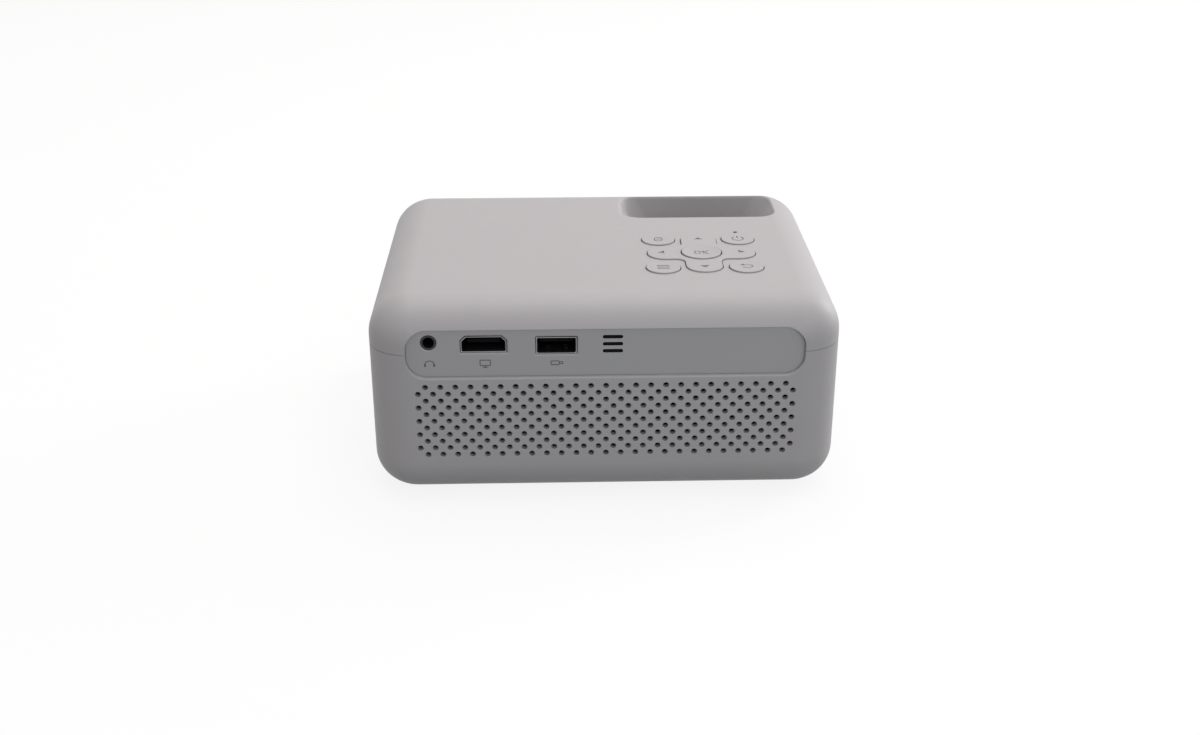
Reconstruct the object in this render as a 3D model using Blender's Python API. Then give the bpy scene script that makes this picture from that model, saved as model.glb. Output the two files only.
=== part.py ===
"""A small LED projector, modelled as the separate pieces that it is built from.

Metres, +Z up. The rear face, with its sockets and grille, looks along -Y, and the lens along +Y.
The origin lies under the middle of the body, on the surface that the feet stand on.
"""

import math

import bmesh
import bpy
from mathutils import Matrix, Vector

MM = 0.001

# Body: two shells that meet at a seam
BODY_WIDTH = 158.5 * MM
BODY_DEPTH = 126 * MM
BODY_HEIGHT = 70 * MM
CORNER_RADIUS = 15 * MM
TOP_FILLET = 14 * MM
BOTTOM_FILLET = 13 * MM
WALL = 2.5 * MM
SEAM_DROP = 16.7 * MM
SEAT_GAP = 0.3 * MM
OVERRUN = 1.5 * MM
CORNER_STEPS = 5
FILLET_STEPS = 5

# Feet and the tripod insert, under the body
FOOT_PROUD = 1.5 * MM
FOOT_RADIUS = 6 * MM
FOOT_WELL = 0.8 * MM
FOOT_EDGE = 0.4 * MM
FOOT_INSET_X = 24 * MM
FOOT_INSET_Y = 23 * MM
TRIPOD_BORE = 3.1 * MM
TRIPOD_RADIUS = 5 * MM
TRIPOD_LENGTH = 9 * MM
TRIPOD_BOSS = 7.5 * MM

# Grille: offset rows of round holes through the rear wall
GRILLE_PITCH = 5 * MM
GRILLE_UNDER_SEAM = 11.6 * MM
GRILLE_MARGIN = 3 * MM
GRILLE_HOLE = 0.98 * MM
GRILLE_SIDES = 5

# Port panel: a flat plate let into the rear, across the seam
PANEL_INSET = 13.25 * MM
PANEL_HALF_HEIGHT = 8.4 * MM
PANEL_CORNER = 6.8 * MM
PANEL_DEPTH = 1.6 * MM
PANEL_THICK = 1.2 * MM
PANEL_RIM = 1.8 * MM
PANEL_SEAT = 2 * MM
PANEL_STEPS = 5

# Sockets, from the left side of the body by the gaps between them, and up from the seam
JACK_INSET = 20.85 * MM
JACK_OVER_SEAM = 3.8 * MM
JACK_COLLAR = 2.55 * MM
JACK_BORE = 1.8 * MM
JACK_BODY = 6 * MM
JACK_LENGTH = 12 * MM
VIDEO_GAP = 8.05 * MM
VIDEO_OVER_SEAM = 3.1 * MM
VIDEO_WIDTH = 15 * MM
VIDEO_HEIGHT = 5.5 * MM
VIDEO_CHAMFER = 1.6 * MM
VIDEO_LENGTH = 11 * MM
VIDEO_SKIN = 0.5 * MM
VIDEO_TONGUE_WIDTH = 11 * MM
VIDEO_TONGUE_THICK = 1.3 * MM
DATA_GAP = 9.85 * MM
DATA_OVER_SEAM = 2.45 * MM
DATA_WIDTH = 13.3 * MM
DATA_HEIGHT = 5.8 * MM
DATA_LENGTH = 14 * MM
DATA_SKIN = 0.4 * MM
DATA_TONGUE_WIDTH = 11 * MM
DATA_TONGUE_THICK = 1.8 * MM
SOCKET_SETBACK = 0.3 * MM
SOCKET_BACK = 1 * MM
WINDOW_MARGIN = 0.7 * MM
SLOT_GAP = 8.7 * MM
SLOT_OVER_SEAM = 5.4 * MM
SLOT_PITCH = 2.52 * MM
SLOT_COUNT = 3
SLOT_LENGTH = 6.5 * MM
SLOT_HEIGHT = 1.1 * MM

# Main board, which carries the sockets
BOARD_THICK = 1.6 * MM
BOARD_UNDER_SEAM = 0.8 * MM
BOARD_INSET = 2.5 * MM
BOARD_REAR_GAP = 5.5 * MM
BOARD_DEPTH = 24 * MM
POST_RADIUS = 2.6 * MM
POST_INSET = 3.4 * MM
CHIP_SIZE = 12 * MM
CHIP_THICK = 2 * MM
CHIP_PLACE_SHARES = (0.28, 0.57)
CAPACITOR_RADIUS = 3 * MM
CAPACITOR_HEIGHT = 3.8 * MM
CAPACITOR_PLACE_SHARES = (0.08, -0.06, 0.79)
RECEIVER_WIDTH = 5.6 * MM
RECEIVER_DEPTH = 3.4 * MM
RECEIVER_HEIGHT = 6.6 * MM

# Screws and the bosses that take them
BOSS_RADIUS = 4.6 * MM
BOSS_INSET_X = 9 * MM
BOSS_INSET_Y = 13 * MM
SCREW_SEAT_UNDER_SEAM = 4.3 * MM
SCREW_WELL = 3.2 * MM
SCREW_HEAD = 2.7 * MM
SCREW_HEAD_HEIGHT = 2 * MM
SCREW_SHANK = 1.25 * MM
SCREW_LENGTH = 10 * MM
SCREW_CLEARANCE = 0.3 * MM
SCREW_HOLE = SCREW_SHANK + SCREW_CLEARANCE
SHORT_SCREW_LENGTH = 6 * MM
SCREW_SIDES = 10

# Keypad on the top face
PAD_INSET = 43.85 * MM
PAD_Y = -13.6 * MM
KEY_SPACING_X = 14.45 * MM
KEY_SPACING_Y = 14.2 * MM
KEY_RADIUS = 5.9 * MM
OK_RADIUS = 6.95 * MM
OK_DISH = 0.55 * MM
ARM_REACH = 19.1 * MM
ARM_HALF = 6.3 * MM
ARM_CORNER = 6 * MM
ARM_FILLET = 3 * MM
ARM_STEPS = 4
KEY_PROUD = 0.45 * MM
OK_PROUD = 0.8 * MM
KEY_GAP = 0.35 * MM
KEY_EDGE = 0.25 * MM
KEY_LIP = 0.7 * MM
KEY_LIP_THICK = 1 * MM
KEY_STEM = 1.8 * MM
KEY_TRAVEL = 0.6 * MM
STEM_GAP = 0.75 * MM
ROCKER_DROP = 1.1 * MM
ROCKER_LIP_THICK = 1.2 * MM
ROCKER_ARM = 13 * MM
ROCKER_SEAT = 0.6 * MM
ROCKER_STEP = 2.2 * MM
OK_LIP_DROP = 0.5 * MM
COLLAR_GAP = 0.4 * MM
COLLAR_OUTER = 8.2 * MM
COLLAR_INNER = 5.8 * MM
ROUND_STEPS = 18
SWITCH_SIZE = 4.5 * MM
SWITCH_HEIGHT = 3.4 * MM
KEYPAD_BOARD_DROP = 11 * MM
KEYPAD_POST_X = 22.4 * MM
KEYPAD_POST_Y = 20.1 * MM
KEYPAD_MARGIN = 3.6 * MM
STAKE_RADIUS = 0.9 * MM
STAKE_PROUD = 0.8 * MM
LIGHT_RISE_Y = 7.8 * MM
LIGHT_RADIUS = 0.5 * MM
LIGHT_STEM = 1.1 * MM

# Lens, focus ring and the finger pocket above them. The setbacks run back from the front wall.
LENS_INSET = 40.85 * MM
POCKET_HALF_WIDTH = 28.9 * MM
POCKET_REAR_SETBACK = 36 * MM
POCKET_FRONT_SETBACK = 10 * MM
POCKET_CORNER = 7 * MM
POCKET_LEAN = 5.4 * MM
POCKET_DEPTH = 14 * MM
POCKET_WALL = 2 * MM
RING_SHOW = 3 * MM
RING_FLOOR_GAP = 2.5 * MM
RING_BODY = 8.2 * MM
RING_RIDGE = 0.7 * MM
RING_RIDGES = 36
RING_SETBACK = 29 * MM
RING_WIDTH = 11 * MM
SLEEVE_WALL = 2 * MM
SLEEVE_SETBACK = 7.5 * MM
SHOULDER_PROUD = 2.7 * MM
SHOULDER_WIDTH = 1.7 * MM
FLANGE_PROUD = 2 * MM
MOUNT_FLANGE_THICK = 2.5 * MM
BARREL_WALL = 2 * MM
BARREL_REAR_SETBACK = 40 * MM
BARREL_FRONT_SETBACK = 12 * MM
BARREL_LIP = 1.2 * MM
LENS_EDGE = 1.5 * MM
LENS_BULGE = 1.6 * MM
FRONT_LENS_SETBACK = 3.4 * MM
FOCUS_TRAVEL = 2.2 * MM
FOCUS_TURN = math.radians(60)
CAM_PIN_RADIUS = 1.2 * MM
CAM_CLEARANCE = 0.35 * MM
CAM_DEPTH = 2.2 * MM
CAM_STEPS = 12
CAM_MARGIN = math.radians(9)
BEZEL_CLEARANCE = 0.6 * MM
BEZEL_LIP = 1.8 * MM
BEZEL_THICK = 1.4 * MM
BEZEL_STEP = 1.5 * MM
TURN_STEPS = 24

# Optical housing, fed with light from the left and feeding the lens in front
ENGINE_BOARD_GAP = 3.5 * MM
LENS_ROOM = 47 * MM
ENGINE_RING_STEP = 6 * MM
ENGINE_SIDE_MARGIN = 0.6 * MM
ENGINE_INLET_GAP = 2.25 * MM
ENGINE_WALL = 2 * MM
ENGINE_EYE_LEDGE = 5.5 * MM
ENGINE_EYE_MARGIN = 7.5 * MM
MIRROR_LEDGE = 6 * MM
MIRROR_MARGIN = 2.6 * MM
MIRROR_THICK = 2 * MM
CONDENSER_CLEARANCE = 3 * MM
OPTIC_THICK = 2 * MM
OPTIC_SPACING_SHARE = 0.3077
REFLECTOR_LENGTH = 18 * MM
REFLECTOR_SKIN = 1.2 * MM
LED_CHIP_THICK = 0.8 * MM
LED_BOARD_THICK = 1.6 * MM
LED_BOARD_SHARE = 0.7
LED_CHIP_SHARE = 0.375
REFLECTOR_MOUTH_SHARE = 0.75
SINK_STEP = 4 * MM
SINK_BASE = 3 * MM
SINK_FIN = 14 * MM
SINK_FIN_THICK = 1.4 * MM
SINK_FINS = 9
PAD_HALF = 4 * MM

# Fan, between the heat sink and the left wall
FAN_WALL_GAP = 3.85 * MM
FAN_FLOOR_GAP = 4.5 * MM
FAN_BOARD_GAP = 1.5 * MM
FAN_THICK = 10 * MM
FAN_RIM = 1.6 * MM
FAN_HUB_SHARE = 0.47
FAN_HUB_LENGTH = 6.6 * MM
FAN_MOUNT = 1.6 * MM
FAN_STRUT = 2 * MM
FAN_TIP_GAP = 0.8 * MM
FAN_BLADES = 7
FAN_BLADE_THICK = 0.9 * MM
FAN_BLADE_SWEEP = math.radians(34)
FAN_BLADE_LEAN = 5 * MM

# Vents in the side walls
VENT_HEIGHT = 2 * MM
VENT_PITCH = 4.4 * MM
VENT_HALF_LENGTH = 20 * MM
VENT_LOW_MARGIN = 2 * MM
VENT_TOP_MARGIN = 2.5 * MM

# Speaker and dust screen, behind the grille
SPEAKER_INSET = 40.55 * MM
SPEAKER_TOP_GAP = 0.6 * MM
SPEAKER_RIM = 1.4 * MM
SPEAKER_DEPTH = 9 * MM
SPEAKER_SKIN = 0.9 * MM
SPEAKER_NECK_SHARE = 0.48
CONE_GAP = 0.4 * MM
CONE_SKIN = 0.7 * MM
CONE_DEPTH = 5.5 * MM
CONE_NECK_SHARE = 0.274
CONE_TRAVEL = 0.8 * MM
MAGNET_SHARE = 0.62
MAGNET_LENGTH = 6 * MM
SCREEN_INSET = 14.75 * MM
SCREEN_SPEAKER_GAP = 9.1 * MM
SCREEN_THICK = 1 * MM
SCREEN_MARGIN = 3 * MM

# Power inlet, low in the right wall
INLET_SETBACK = 29 * MM
INLET_RISE = 19 * MM
INLET_WIDTH = 9 * MM
INLET_HEIGHT = 11 * MM
INLET_LENGTH = 12.5 * MM
INLET_BORE = 2.9 * MM
INLET_PIN = 1 * MM
INLET_OPENING = 3.5 * MM
INLET_BORE_DEPTH = 9 * MM

# Levels and places that the sizes above give
BODY_BOTTOM = FOOT_PROUD
BODY_TOP = BODY_BOTTOM + BODY_HEIGHT
SIDE = BODY_WIDTH / 2
FRONT = BODY_DEPTH / 2
REAR = -FRONT
SEAM_RISE = BODY_HEIGHT - SEAM_DROP
SEAM = BODY_BOTTOM + SEAM_RISE
CEILING = BODY_TOP - WALL
FLOOR = BODY_BOTTOM + WALL
FILLET_TOP = BODY_BOTTOM + BOTTOM_FILLET

PANEL_HALF_WIDTH = SIDE - PANEL_INSET
PANEL_FACE = REAR + PANEL_DEPTH
PANEL_BACK = PANEL_FACE + PANEL_THICK
SEAT_FACE = PANEL_BACK + SEAT_GAP
SEAT_BACK = SEAT_FACE + PANEL_SEAT
SEAT_BOTTOM = SEAM - PANEL_HALF_HEIGHT - PANEL_RIM
JACK_X = JACK_INSET - SIDE
JACK_RISE = SEAM_RISE + JACK_OVER_SEAM
VIDEO_X = JACK_X + JACK_COLLAR + VIDEO_GAP + VIDEO_WIDTH / 2
VIDEO_RISE = SEAM_RISE + VIDEO_OVER_SEAM
DATA_X = VIDEO_X + VIDEO_WIDTH / 2 + DATA_GAP + DATA_WIDTH / 2
DATA_RISE = SEAM_RISE + DATA_OVER_SEAM
SLOT_X = DATA_X + DATA_WIDTH / 2 + SLOT_GAP + SLOT_LENGTH / 2
SLOT_TOP_RISE = SEAM_RISE + SLOT_OVER_SEAM

# The grille keeps to the flat part of the rear wall, and the vents to that of the side walls.
GRILLE_TOP = SEAM - GRILLE_UNDER_SEAM
GRILLE_COLUMNS = int(2 * (SIDE - CORNER_RADIUS) / GRILLE_PITCH)
GRILLE_ROWS = int((GRILLE_TOP - FILLET_TOP - GRILLE_MARGIN) / (GRILLE_PITCH / 2)) + 1
VENT_LOW = FILLET_TOP + VENT_LOW_MARGIN
VENT_COUNT = int((SEAM - VENT_TOP_MARGIN - VENT_LOW) / VENT_PITCH) + 1

BOARD_HALF_WIDTH = PANEL_HALF_WIDTH - BOARD_INSET
BOARD_TOP = SEAM - BOARD_UNDER_SEAM
BOARD_BOTTOM = BOARD_TOP - BOARD_THICK
BOARD_REAR = REAR + BOARD_REAR_GAP
BOARD_FRONT = BOARD_REAR + BOARD_DEPTH
SCREW_SEAT = SEAM - SCREW_SEAT_UNDER_SEAM
PAD_X = SIDE - PAD_INSET
KEYPAD_BOARD_TOP = BODY_TOP - KEYPAD_BOARD_DROP
SWITCH_TOP = KEYPAD_BOARD_TOP + SWITCH_HEIGHT
STEM_BOTTOM = SWITCH_TOP + STEM_GAP

# The focus ring reaches from just over the floor into the pocket, and the lens is sized by it.
LENS_X = SIDE - LENS_INSET
POCKET_FLOOR = BODY_TOP - POCKET_DEPTH
POCKET_REAR = FRONT - POCKET_REAR_SETBACK
POCKET_FRONT = FRONT - POCKET_FRONT_SETBACK
RING_OUTER = (POCKET_FLOOR + RING_SHOW - FLOOR - RING_FLOOR_GAP) / 2
RING_REAR = FRONT - RING_SETBACK
RING_FRONT = RING_REAR + RING_WIDTH
LENS_Z = FLOOR + RING_FLOOR_GAP + RING_OUTER
SLEEVE_OUTER = RING_OUTER - RING_BODY
SLEEVE_INNER = SLEEVE_OUTER - SLEEVE_WALL
SLEEVE_FRONT = FRONT - SLEEVE_SETBACK
SHOULDER_OUTER = SLEEVE_OUTER + SHOULDER_PROUD
MOUNT_FLANGE = SLEEVE_OUTER + FLANGE_PROUD
BARREL_OUTER = SLEEVE_INNER - SEAT_GAP
BARREL_INNER = BARREL_OUTER - BARREL_WALL
BARREL_REAR = FRONT - BARREL_REAR_SETBACK
BARREL_FRONT = FRONT - BARREL_FRONT_SETBACK
BEZEL_INNER = BARREL_OUTER + BEZEL_CLEARANCE
BEZEL_OUTER = BEZEL_INNER + BEZEL_LIP
BEZEL_FLANGE = BEZEL_OUTER + BEZEL_STEP

# The optical housing stands between the main board and the lens.
ENGINE_REAR = BOARD_FRONT + ENGINE_BOARD_GAP
ENGINE_FRONT = FRONT - LENS_ROOM
ENGINE_Y = (ENGINE_REAR + ENGINE_FRONT) / 2
ENGINE_HALF_DEPTH = (ENGINE_FRONT - ENGINE_REAR) / 2
ENGINE_HALF_HEIGHT = RING_OUTER - ENGINE_RING_STEP
ENGINE_BOTTOM = LENS_Z - ENGINE_HALF_HEIGHT
INLET_BACK = SIDE - WALL - INLET_LENGTH
ENGINE_RIGHT = min(LENS_X + ENGINE_HALF_DEPTH + ENGINE_SIDE_MARGIN, INLET_BACK - ENGINE_INLET_GAP)
ENGINE_EYE = min(ENGINE_HALF_HEIGHT - ENGINE_EYE_LEDGE, ENGINE_HALF_DEPTH - ENGINE_EYE_MARGIN)
REFLECTOR_LARGE = min(ENGINE_HALF_HEIGHT, ENGINE_HALF_DEPTH) - ENGINE_WALL

# From the left wall inwards: fan, heat sink, lamp board, lamp chip, reflector, optical housing
FAN_SIZE = 2 * min(LENS_Z - FLOOR - FAN_FLOOR_GAP, ENGINE_Y - BOARD_FRONT - FAN_BOARD_GAP)
FAN_BORE = FAN_SIZE / 2 - FAN_RIM
FAN_HUB = FAN_BORE * FAN_HUB_SHARE
FAN_LEFT = WALL + FAN_WALL_GAP - SIDE
FAN_RIGHT = FAN_LEFT + FAN_THICK
SINK_SIZE = FAN_SIZE - SINK_STEP
SINK_LEFT = FAN_RIGHT + SEAT_GAP
SINK_RIGHT = SINK_LEFT + SINK_FIN + SINK_BASE
LED_BOARD_SIZE = SINK_SIZE * LED_BOARD_SHARE
LED_BOARD_LEFT = SINK_RIGHT + SEAT_GAP
LED_CHIP_SIZE = LED_BOARD_SIZE * LED_CHIP_SHARE
LED_CHIP_LEFT = LED_BOARD_LEFT + LED_BOARD_THICK + SEAT_GAP
REFLECTOR_SMALL = LED_CHIP_SIZE * REFLECTOR_MOUTH_SHARE
REFLECTOR_LEFT = LED_CHIP_LEFT + LED_CHIP_THICK + SEAT_GAP
REFLECTOR_RIGHT = REFLECTOR_LEFT + REFLECTOR_LENGTH
ENGINE_LEFT = REFLECTOR_RIGHT + SEAT_GAP
MIRROR_REACH = ENGINE_RIGHT - ENGINE_SIDE_MARGIN - LENS_X - ENGINE_WALL - MIRROR_MARGIN
CONDENSER_LEFT = ENGINE_LEFT + ENGINE_WALL + CONDENSER_CLEARANCE
OPTIC_SPACING = (LENS_X - MIRROR_REACH - CONDENSER_LEFT) * OPTIC_SPACING_SHARE

# The speaker fills the flat part of the rear wall under the panel's seat.
SPEAKER_RADIUS = (SEAT_BOTTOM - SPEAKER_TOP_GAP - FILLET_TOP - SEAT_GAP) / 2
SPEAKER_X = SIDE - SPEAKER_INSET
SPEAKER_Z = FILLET_TOP + SEAT_GAP + SPEAKER_RADIUS
SPEAKER_NECK = SPEAKER_RADIUS * SPEAKER_NECK_SHARE
SPEAKER_FRONT = REAR + WALL + SEAT_GAP
SPEAKER_BACK = SPEAKER_FRONT + SPEAKER_DEPTH
CONE_NECK = SPEAKER_RADIUS * CONE_NECK_SHARE
MAGNET_RADIUS = SPEAKER_RADIUS * MAGNET_SHARE
SCREEN_LEFT = SCREEN_INSET - SIDE
SCREEN_RIGHT = SPEAKER_X - SPEAKER_RADIUS - SCREEN_SPEAKER_GAP
INLET_Y = REAR + INLET_SETBACK
CORNERS = {"rear_left": (-1, -1), "rear_right": (1, -1), "front_left": (-1, 1), "front_right": (1, 1)}
BOSS_PLACES = {
    f"case_screw_{corner}": (across * (SIDE - BOSS_INSET_X), along * (FRONT - BOSS_INSET_Y))
    for corner, (across, along) in CORNERS.items()
}
FOOT_PLACES = {
    f"foot_{corner}": (across * (SIDE - FOOT_INSET_X), along * (FRONT - FOOT_INSET_Y))
    for corner, (across, along) in CORNERS.items()
}
POST_PLACES = {
    "board_screw_rear": ((VIDEO_X + DATA_X) / 2, BOARD_REAR + POST_INSET),
    "board_screw_left": (POST_INSET - BOARD_HALF_WIDTH, BOARD_FRONT - POST_INSET),
    "board_screw_right": (BOARD_HALF_WIDTH - POST_INSET, BOARD_FRONT - POST_INSET),
}
KEY_PLACES = {
    "source_button": (PAD_X - KEY_SPACING_X, PAD_Y + KEY_SPACING_Y),
    "power_button": (PAD_X + KEY_SPACING_X, PAD_Y + KEY_SPACING_Y),
    "menu_button": (PAD_X - KEY_SPACING_X, PAD_Y - KEY_SPACING_Y),
    "back_button": (PAD_X + KEY_SPACING_X, PAD_Y - KEY_SPACING_Y),
}
ARM_PLACES = [
    (PAD_X + ROCKER_ARM, PAD_Y),
    (PAD_X, PAD_Y + ROCKER_ARM),
    (PAD_X - ROCKER_ARM, PAD_Y),
    (PAD_X, PAD_Y - ROCKER_ARM),
]
KEYPAD_POSTS = [
    (PAD_X + across * KEYPAD_POST_X, PAD_Y + along * KEYPAD_POST_Y) for across, along in CORNERS.values()
]
LIGHT_PLACE = (PAD_X + KEY_SPACING_X, PAD_Y + KEY_SPACING_Y + LIGHT_RISE_Y)


def clear_scene():
    """Empties the scene of its objects."""
    for obj in list(bpy.data.objects):
        bpy.data.objects.remove(obj)


def solid(points, faces):
    """A closed object from its points and faces, with every face pointing out."""
    mesh = bpy.data.meshes.new("solid")
    mesh.from_pydata([tuple(p) for p in points], [], faces)
    work = bmesh.new()
    work.from_mesh(mesh)
    bmesh.ops.recalc_face_normals(work, faces=work.faces)
    work.to_mesh(mesh)
    work.free()
    obj = bpy.data.objects.new("solid", mesh)
    bpy.context.scene.collection.objects.link(obj)
    return obj


def loft(rings):
    """A solid through rings of equally many points, closed by a flat face at each end."""
    count = len(rings[0])
    points = [p for ring in rings for p in ring]
    faces = [
        [
            level * count + k,
            level * count + (k + 1) % count,
            (level + 1) * count + (k + 1) % count,
            (level + 1) * count + k,
        ]
        for level in range(len(rings) - 1)
        for k in range(count)
    ]
    last = (len(rings) - 1) * count
    faces.append(list(range(count))[::-1])
    faces.append(list(range(last, last + count)))
    return solid(points, faces)


def lay(outline, level, axis):
    """Puts a flat outline at a level on an axis. (u, v) is (y, z) on X, (x, z) on Y and (x, y) on Z."""
    if axis == "X":
        return [Vector((level, u, v)) for u, v in outline]
    if axis == "Y":
        return [Vector((u, level, v)) for u, v in outline]
    return [Vector((u, v, level)) for u, v in outline]


def prism(outline, start, end, axis="Z"):
    """A straight solid with this outline, from start to end along an axis."""
    return loft([lay(outline, start, axis), lay(outline, end, axis)])


def block(low, high):
    """A box from its lowest to its highest corner."""
    outline = [(low[0], low[1]), (high[0], low[1]), (high[0], high[1]), (low[0], high[1])]
    return prism(outline, low[2], high[2])


def arc(centre, radius, start, end, steps):
    """Points along an arc, from one angle to another."""
    return [
        (
            centre[0] + radius * math.cos(start + (end - start) * k / steps),
            centre[1] + radius * math.sin(start + (end - start) * k / steps),
        )
        for k in range(steps + 1)
    ]


def circle(centre, radius, sides):
    """A regular outline of a round piece."""
    return arc(centre, radius, 0, 2 * math.pi * (1 - 1 / sides), sides - 1)


def rounded_rectangle(centre, half_u, half_v, radius, steps):
    """A rectangle's outline with round corners."""
    quarter = math.pi / 2
    points = []
    for k, (su, sv) in enumerate(((1, 1), (-1, 1), (-1, -1), (1, -1))):
        middle = (centre[0] + su * (half_u - radius), centre[1] + sv * (half_v - radius))
        points += arc(middle, radius, k * quarter, (k + 1) * quarter, steps)
    return points


def cross_outline(grow):
    """The rocker's cross with round arm ends and filleted inner corners, grown by an even margin."""
    reach, half = ARM_REACH + grow, ARM_HALF + grow
    corner, fillet = ARM_CORNER + grow, ARM_FILLET - grow
    quarter = math.pi / 2
    arm = arc((reach - corner, corner - half), corner, -quarter, 0, ARM_STEPS)
    arm += arc((reach - corner, half - corner), corner, 0, quarter, ARM_STEPS)
    arm += arc((half + fillet, half + fillet), fillet, -quarter, -2 * quarter, ARM_STEPS)
    points = []
    for turn in range(4):
        cos, sin = round(math.cos(turn * quarter)), round(math.sin(turn * quarter))
        points += [(PAD_X + u * cos - v * sin, PAD_Y + u * sin + v * cos) for u, v in arm]
    return points


def turned(profile, centre, axis, steps=TURN_STEPS):
    """A solid of revolution about a line through centre. The profile holds (radius, level) pairs.

    A profile that starts and ends at radius 0 makes a full body. Any other closes on itself as a ring.
    """
    full = profile[0][0] == 0
    inner = profile[1:-1] if full else profile
    points = [p for radius, level in inner for p in lay(circle(centre, radius, steps), level, axis)]
    rows = len(inner)
    faces = [
        [
            row * steps + k,
            row * steps + (k + 1) % steps,
            (row + 1) % rows * steps + (k + 1) % steps,
            (row + 1) % rows * steps + k,
        ]
        for row in range(rows - 1 if full else rows)
        for k in range(steps)
    ]
    if full:
        for row, (_, level) in ((0, profile[0]), (rows - 1, profile[-1])):
            points += lay([centre], level, axis)
            pole = len(points) - 1
            faces += [[row * steps + k, row * steps + (k + 1) % steps, pole] for k in range(steps)]
    return solid(points, faces)


def rod(centre, radius, start, end, axis="Z", sides=SCREW_SIDES):
    """A plain round bar along an axis."""
    return prism(circle(centre, radius, sides), start, end, axis)


def combine(target, tools, operation):
    """Cuts, joins or trims a solid with others, which are used up."""
    for tool in tools:
        modifier = target.modifiers.new("step", "BOOLEAN")
        modifier.operation = operation
        modifier.object = tool
        graph = bpy.context.evaluated_depsgraph_get()
        made = bpy.data.meshes.new_from_object(target.evaluated_get(graph))
        target.modifiers.clear()
        target.data = made
        bpy.data.objects.remove(tool)
    return target


def cut(target, *tools):
    """Takes the tools out of the target."""
    return combine(target, tools, "DIFFERENCE")


def join(target, *tools):
    """Makes one solid of the target and the tools, which overlap it."""
    return combine(target, tools, "UNION")


def copied(obj):
    """Another object with its own copy of the same mesh."""
    twin = obj.copy()
    twin.data = obj.data.copy()
    bpy.context.scene.collection.objects.link(twin)
    return twin


def gather(solids):
    """One object of several separate solids that don't touch."""
    work = bmesh.new()
    for obj in solids:
        work.from_mesh(obj.data)
        bpy.data.objects.remove(obj)
    mesh = bpy.data.meshes.new("group")
    work.to_mesh(mesh)
    work.free()
    obj = bpy.data.objects.new("group", mesh)
    bpy.context.scene.collection.objects.link(obj)
    return obj


def material(name, colour, roughness, metallic=0.0):
    """A plain surface with its own colour, roughness and metallic value."""
    made = bpy.data.materials.new(name)
    made.use_nodes = True
    shader = made.node_tree.nodes["Principled BSDF"]
    shader.inputs["Base Color"].default_value = (*colour, 1)
    shader.inputs["Roughness"].default_value = roughness
    shader.inputs["Metallic"].default_value = metallic
    return made


def name_piece(obj, name, surface, pivot=None):
    """Names a finished solid, gives it its surface, and moves its origin to its pivot."""
    obj.name = name
    obj.data.name = name
    obj.data.materials.clear()
    obj.data.materials.append(surface)
    if pivot is not None:
        obj.data.transform(Matrix.Translation(-Vector(pivot)))
        obj.location = pivot
    obj.data.shade_smooth()
    obj.data.set_sharp_from_angle(angle=math.radians(35))
    return obj


def rounded_body(inset):
    """The body's rounded box, drawn in evenly by inset."""
    half_x, half_y, corner = SIDE - inset, FRONT - inset, CORNER_RADIUS - inset
    levels = []
    for step in range(FILLET_STEPS + 1):
        angle = math.pi / 2 * (1 - step / FILLET_STEPS)
        radius = BOTTOM_FILLET - inset
        levels.append((radius * (1 - math.cos(angle)), FLOOR - WALL + inset + radius * (1 - math.sin(angle))))
    for step in range(FILLET_STEPS + 1):
        angle = math.pi / 2 * step / FILLET_STEPS
        radius = TOP_FILLET - inset
        levels.append((radius * (1 - math.cos(angle)), BODY_TOP - inset - radius * (1 - math.sin(angle))))
    return loft(
        [
            lay(rounded_rectangle((0, 0), half_x - d, half_y - d, corner - d, CORNER_STEPS), z, "Z")
            for d, z in levels
        ]
    )


def cavity():
    """The space inside the shells, less everything that the shells carry on their inner faces."""
    space = rounded_body(WALL)
    seat_half_x, seat_half_z = PANEL_HALF_WIDTH + PANEL_RIM, PANEL_HALF_HEIGHT + PANEL_RIM
    features = [
        block((-seat_half_x, REAR, SEAM - seat_half_z), (seat_half_x, SEAT_BACK, SEAM + seat_half_z)),
        block(
            (LENS_X - POCKET_HALF_WIDTH - POCKET_WALL, POCKET_REAR - POCKET_WALL, POCKET_FLOOR - POCKET_WALL),
            (LENS_X + POCKET_HALF_WIDTH + POCKET_WALL, POCKET_FRONT + POCKET_WALL, BODY_TOP),
        ),
        rod((0, 0), TRIPOD_BOSS, 0, FLOOR + TRIPOD_LENGTH - WALL, sides=ROUND_STEPS),
    ]
    features += [rod(place, BOSS_RADIUS, 0, BODY_TOP) for place in BOSS_PLACES.values()]
    posts = POST_PLACES.values()
    features += [rod(place, POST_RADIUS, 0, BOARD_BOTTOM - SEAT_GAP) for place in posts]
    stake_bottom = KEYPAD_BOARD_TOP - BOARD_THICK - STAKE_PROUD
    for place in KEYPAD_POSTS:
        features.append(rod(place, POST_RADIUS, KEYPAD_BOARD_TOP + SEAT_GAP, BODY_TOP))
        features.append(rod(place, STAKE_RADIUS, stake_bottom, BODY_TOP))
    features += rests()
    return cut(space, *features)


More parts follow.
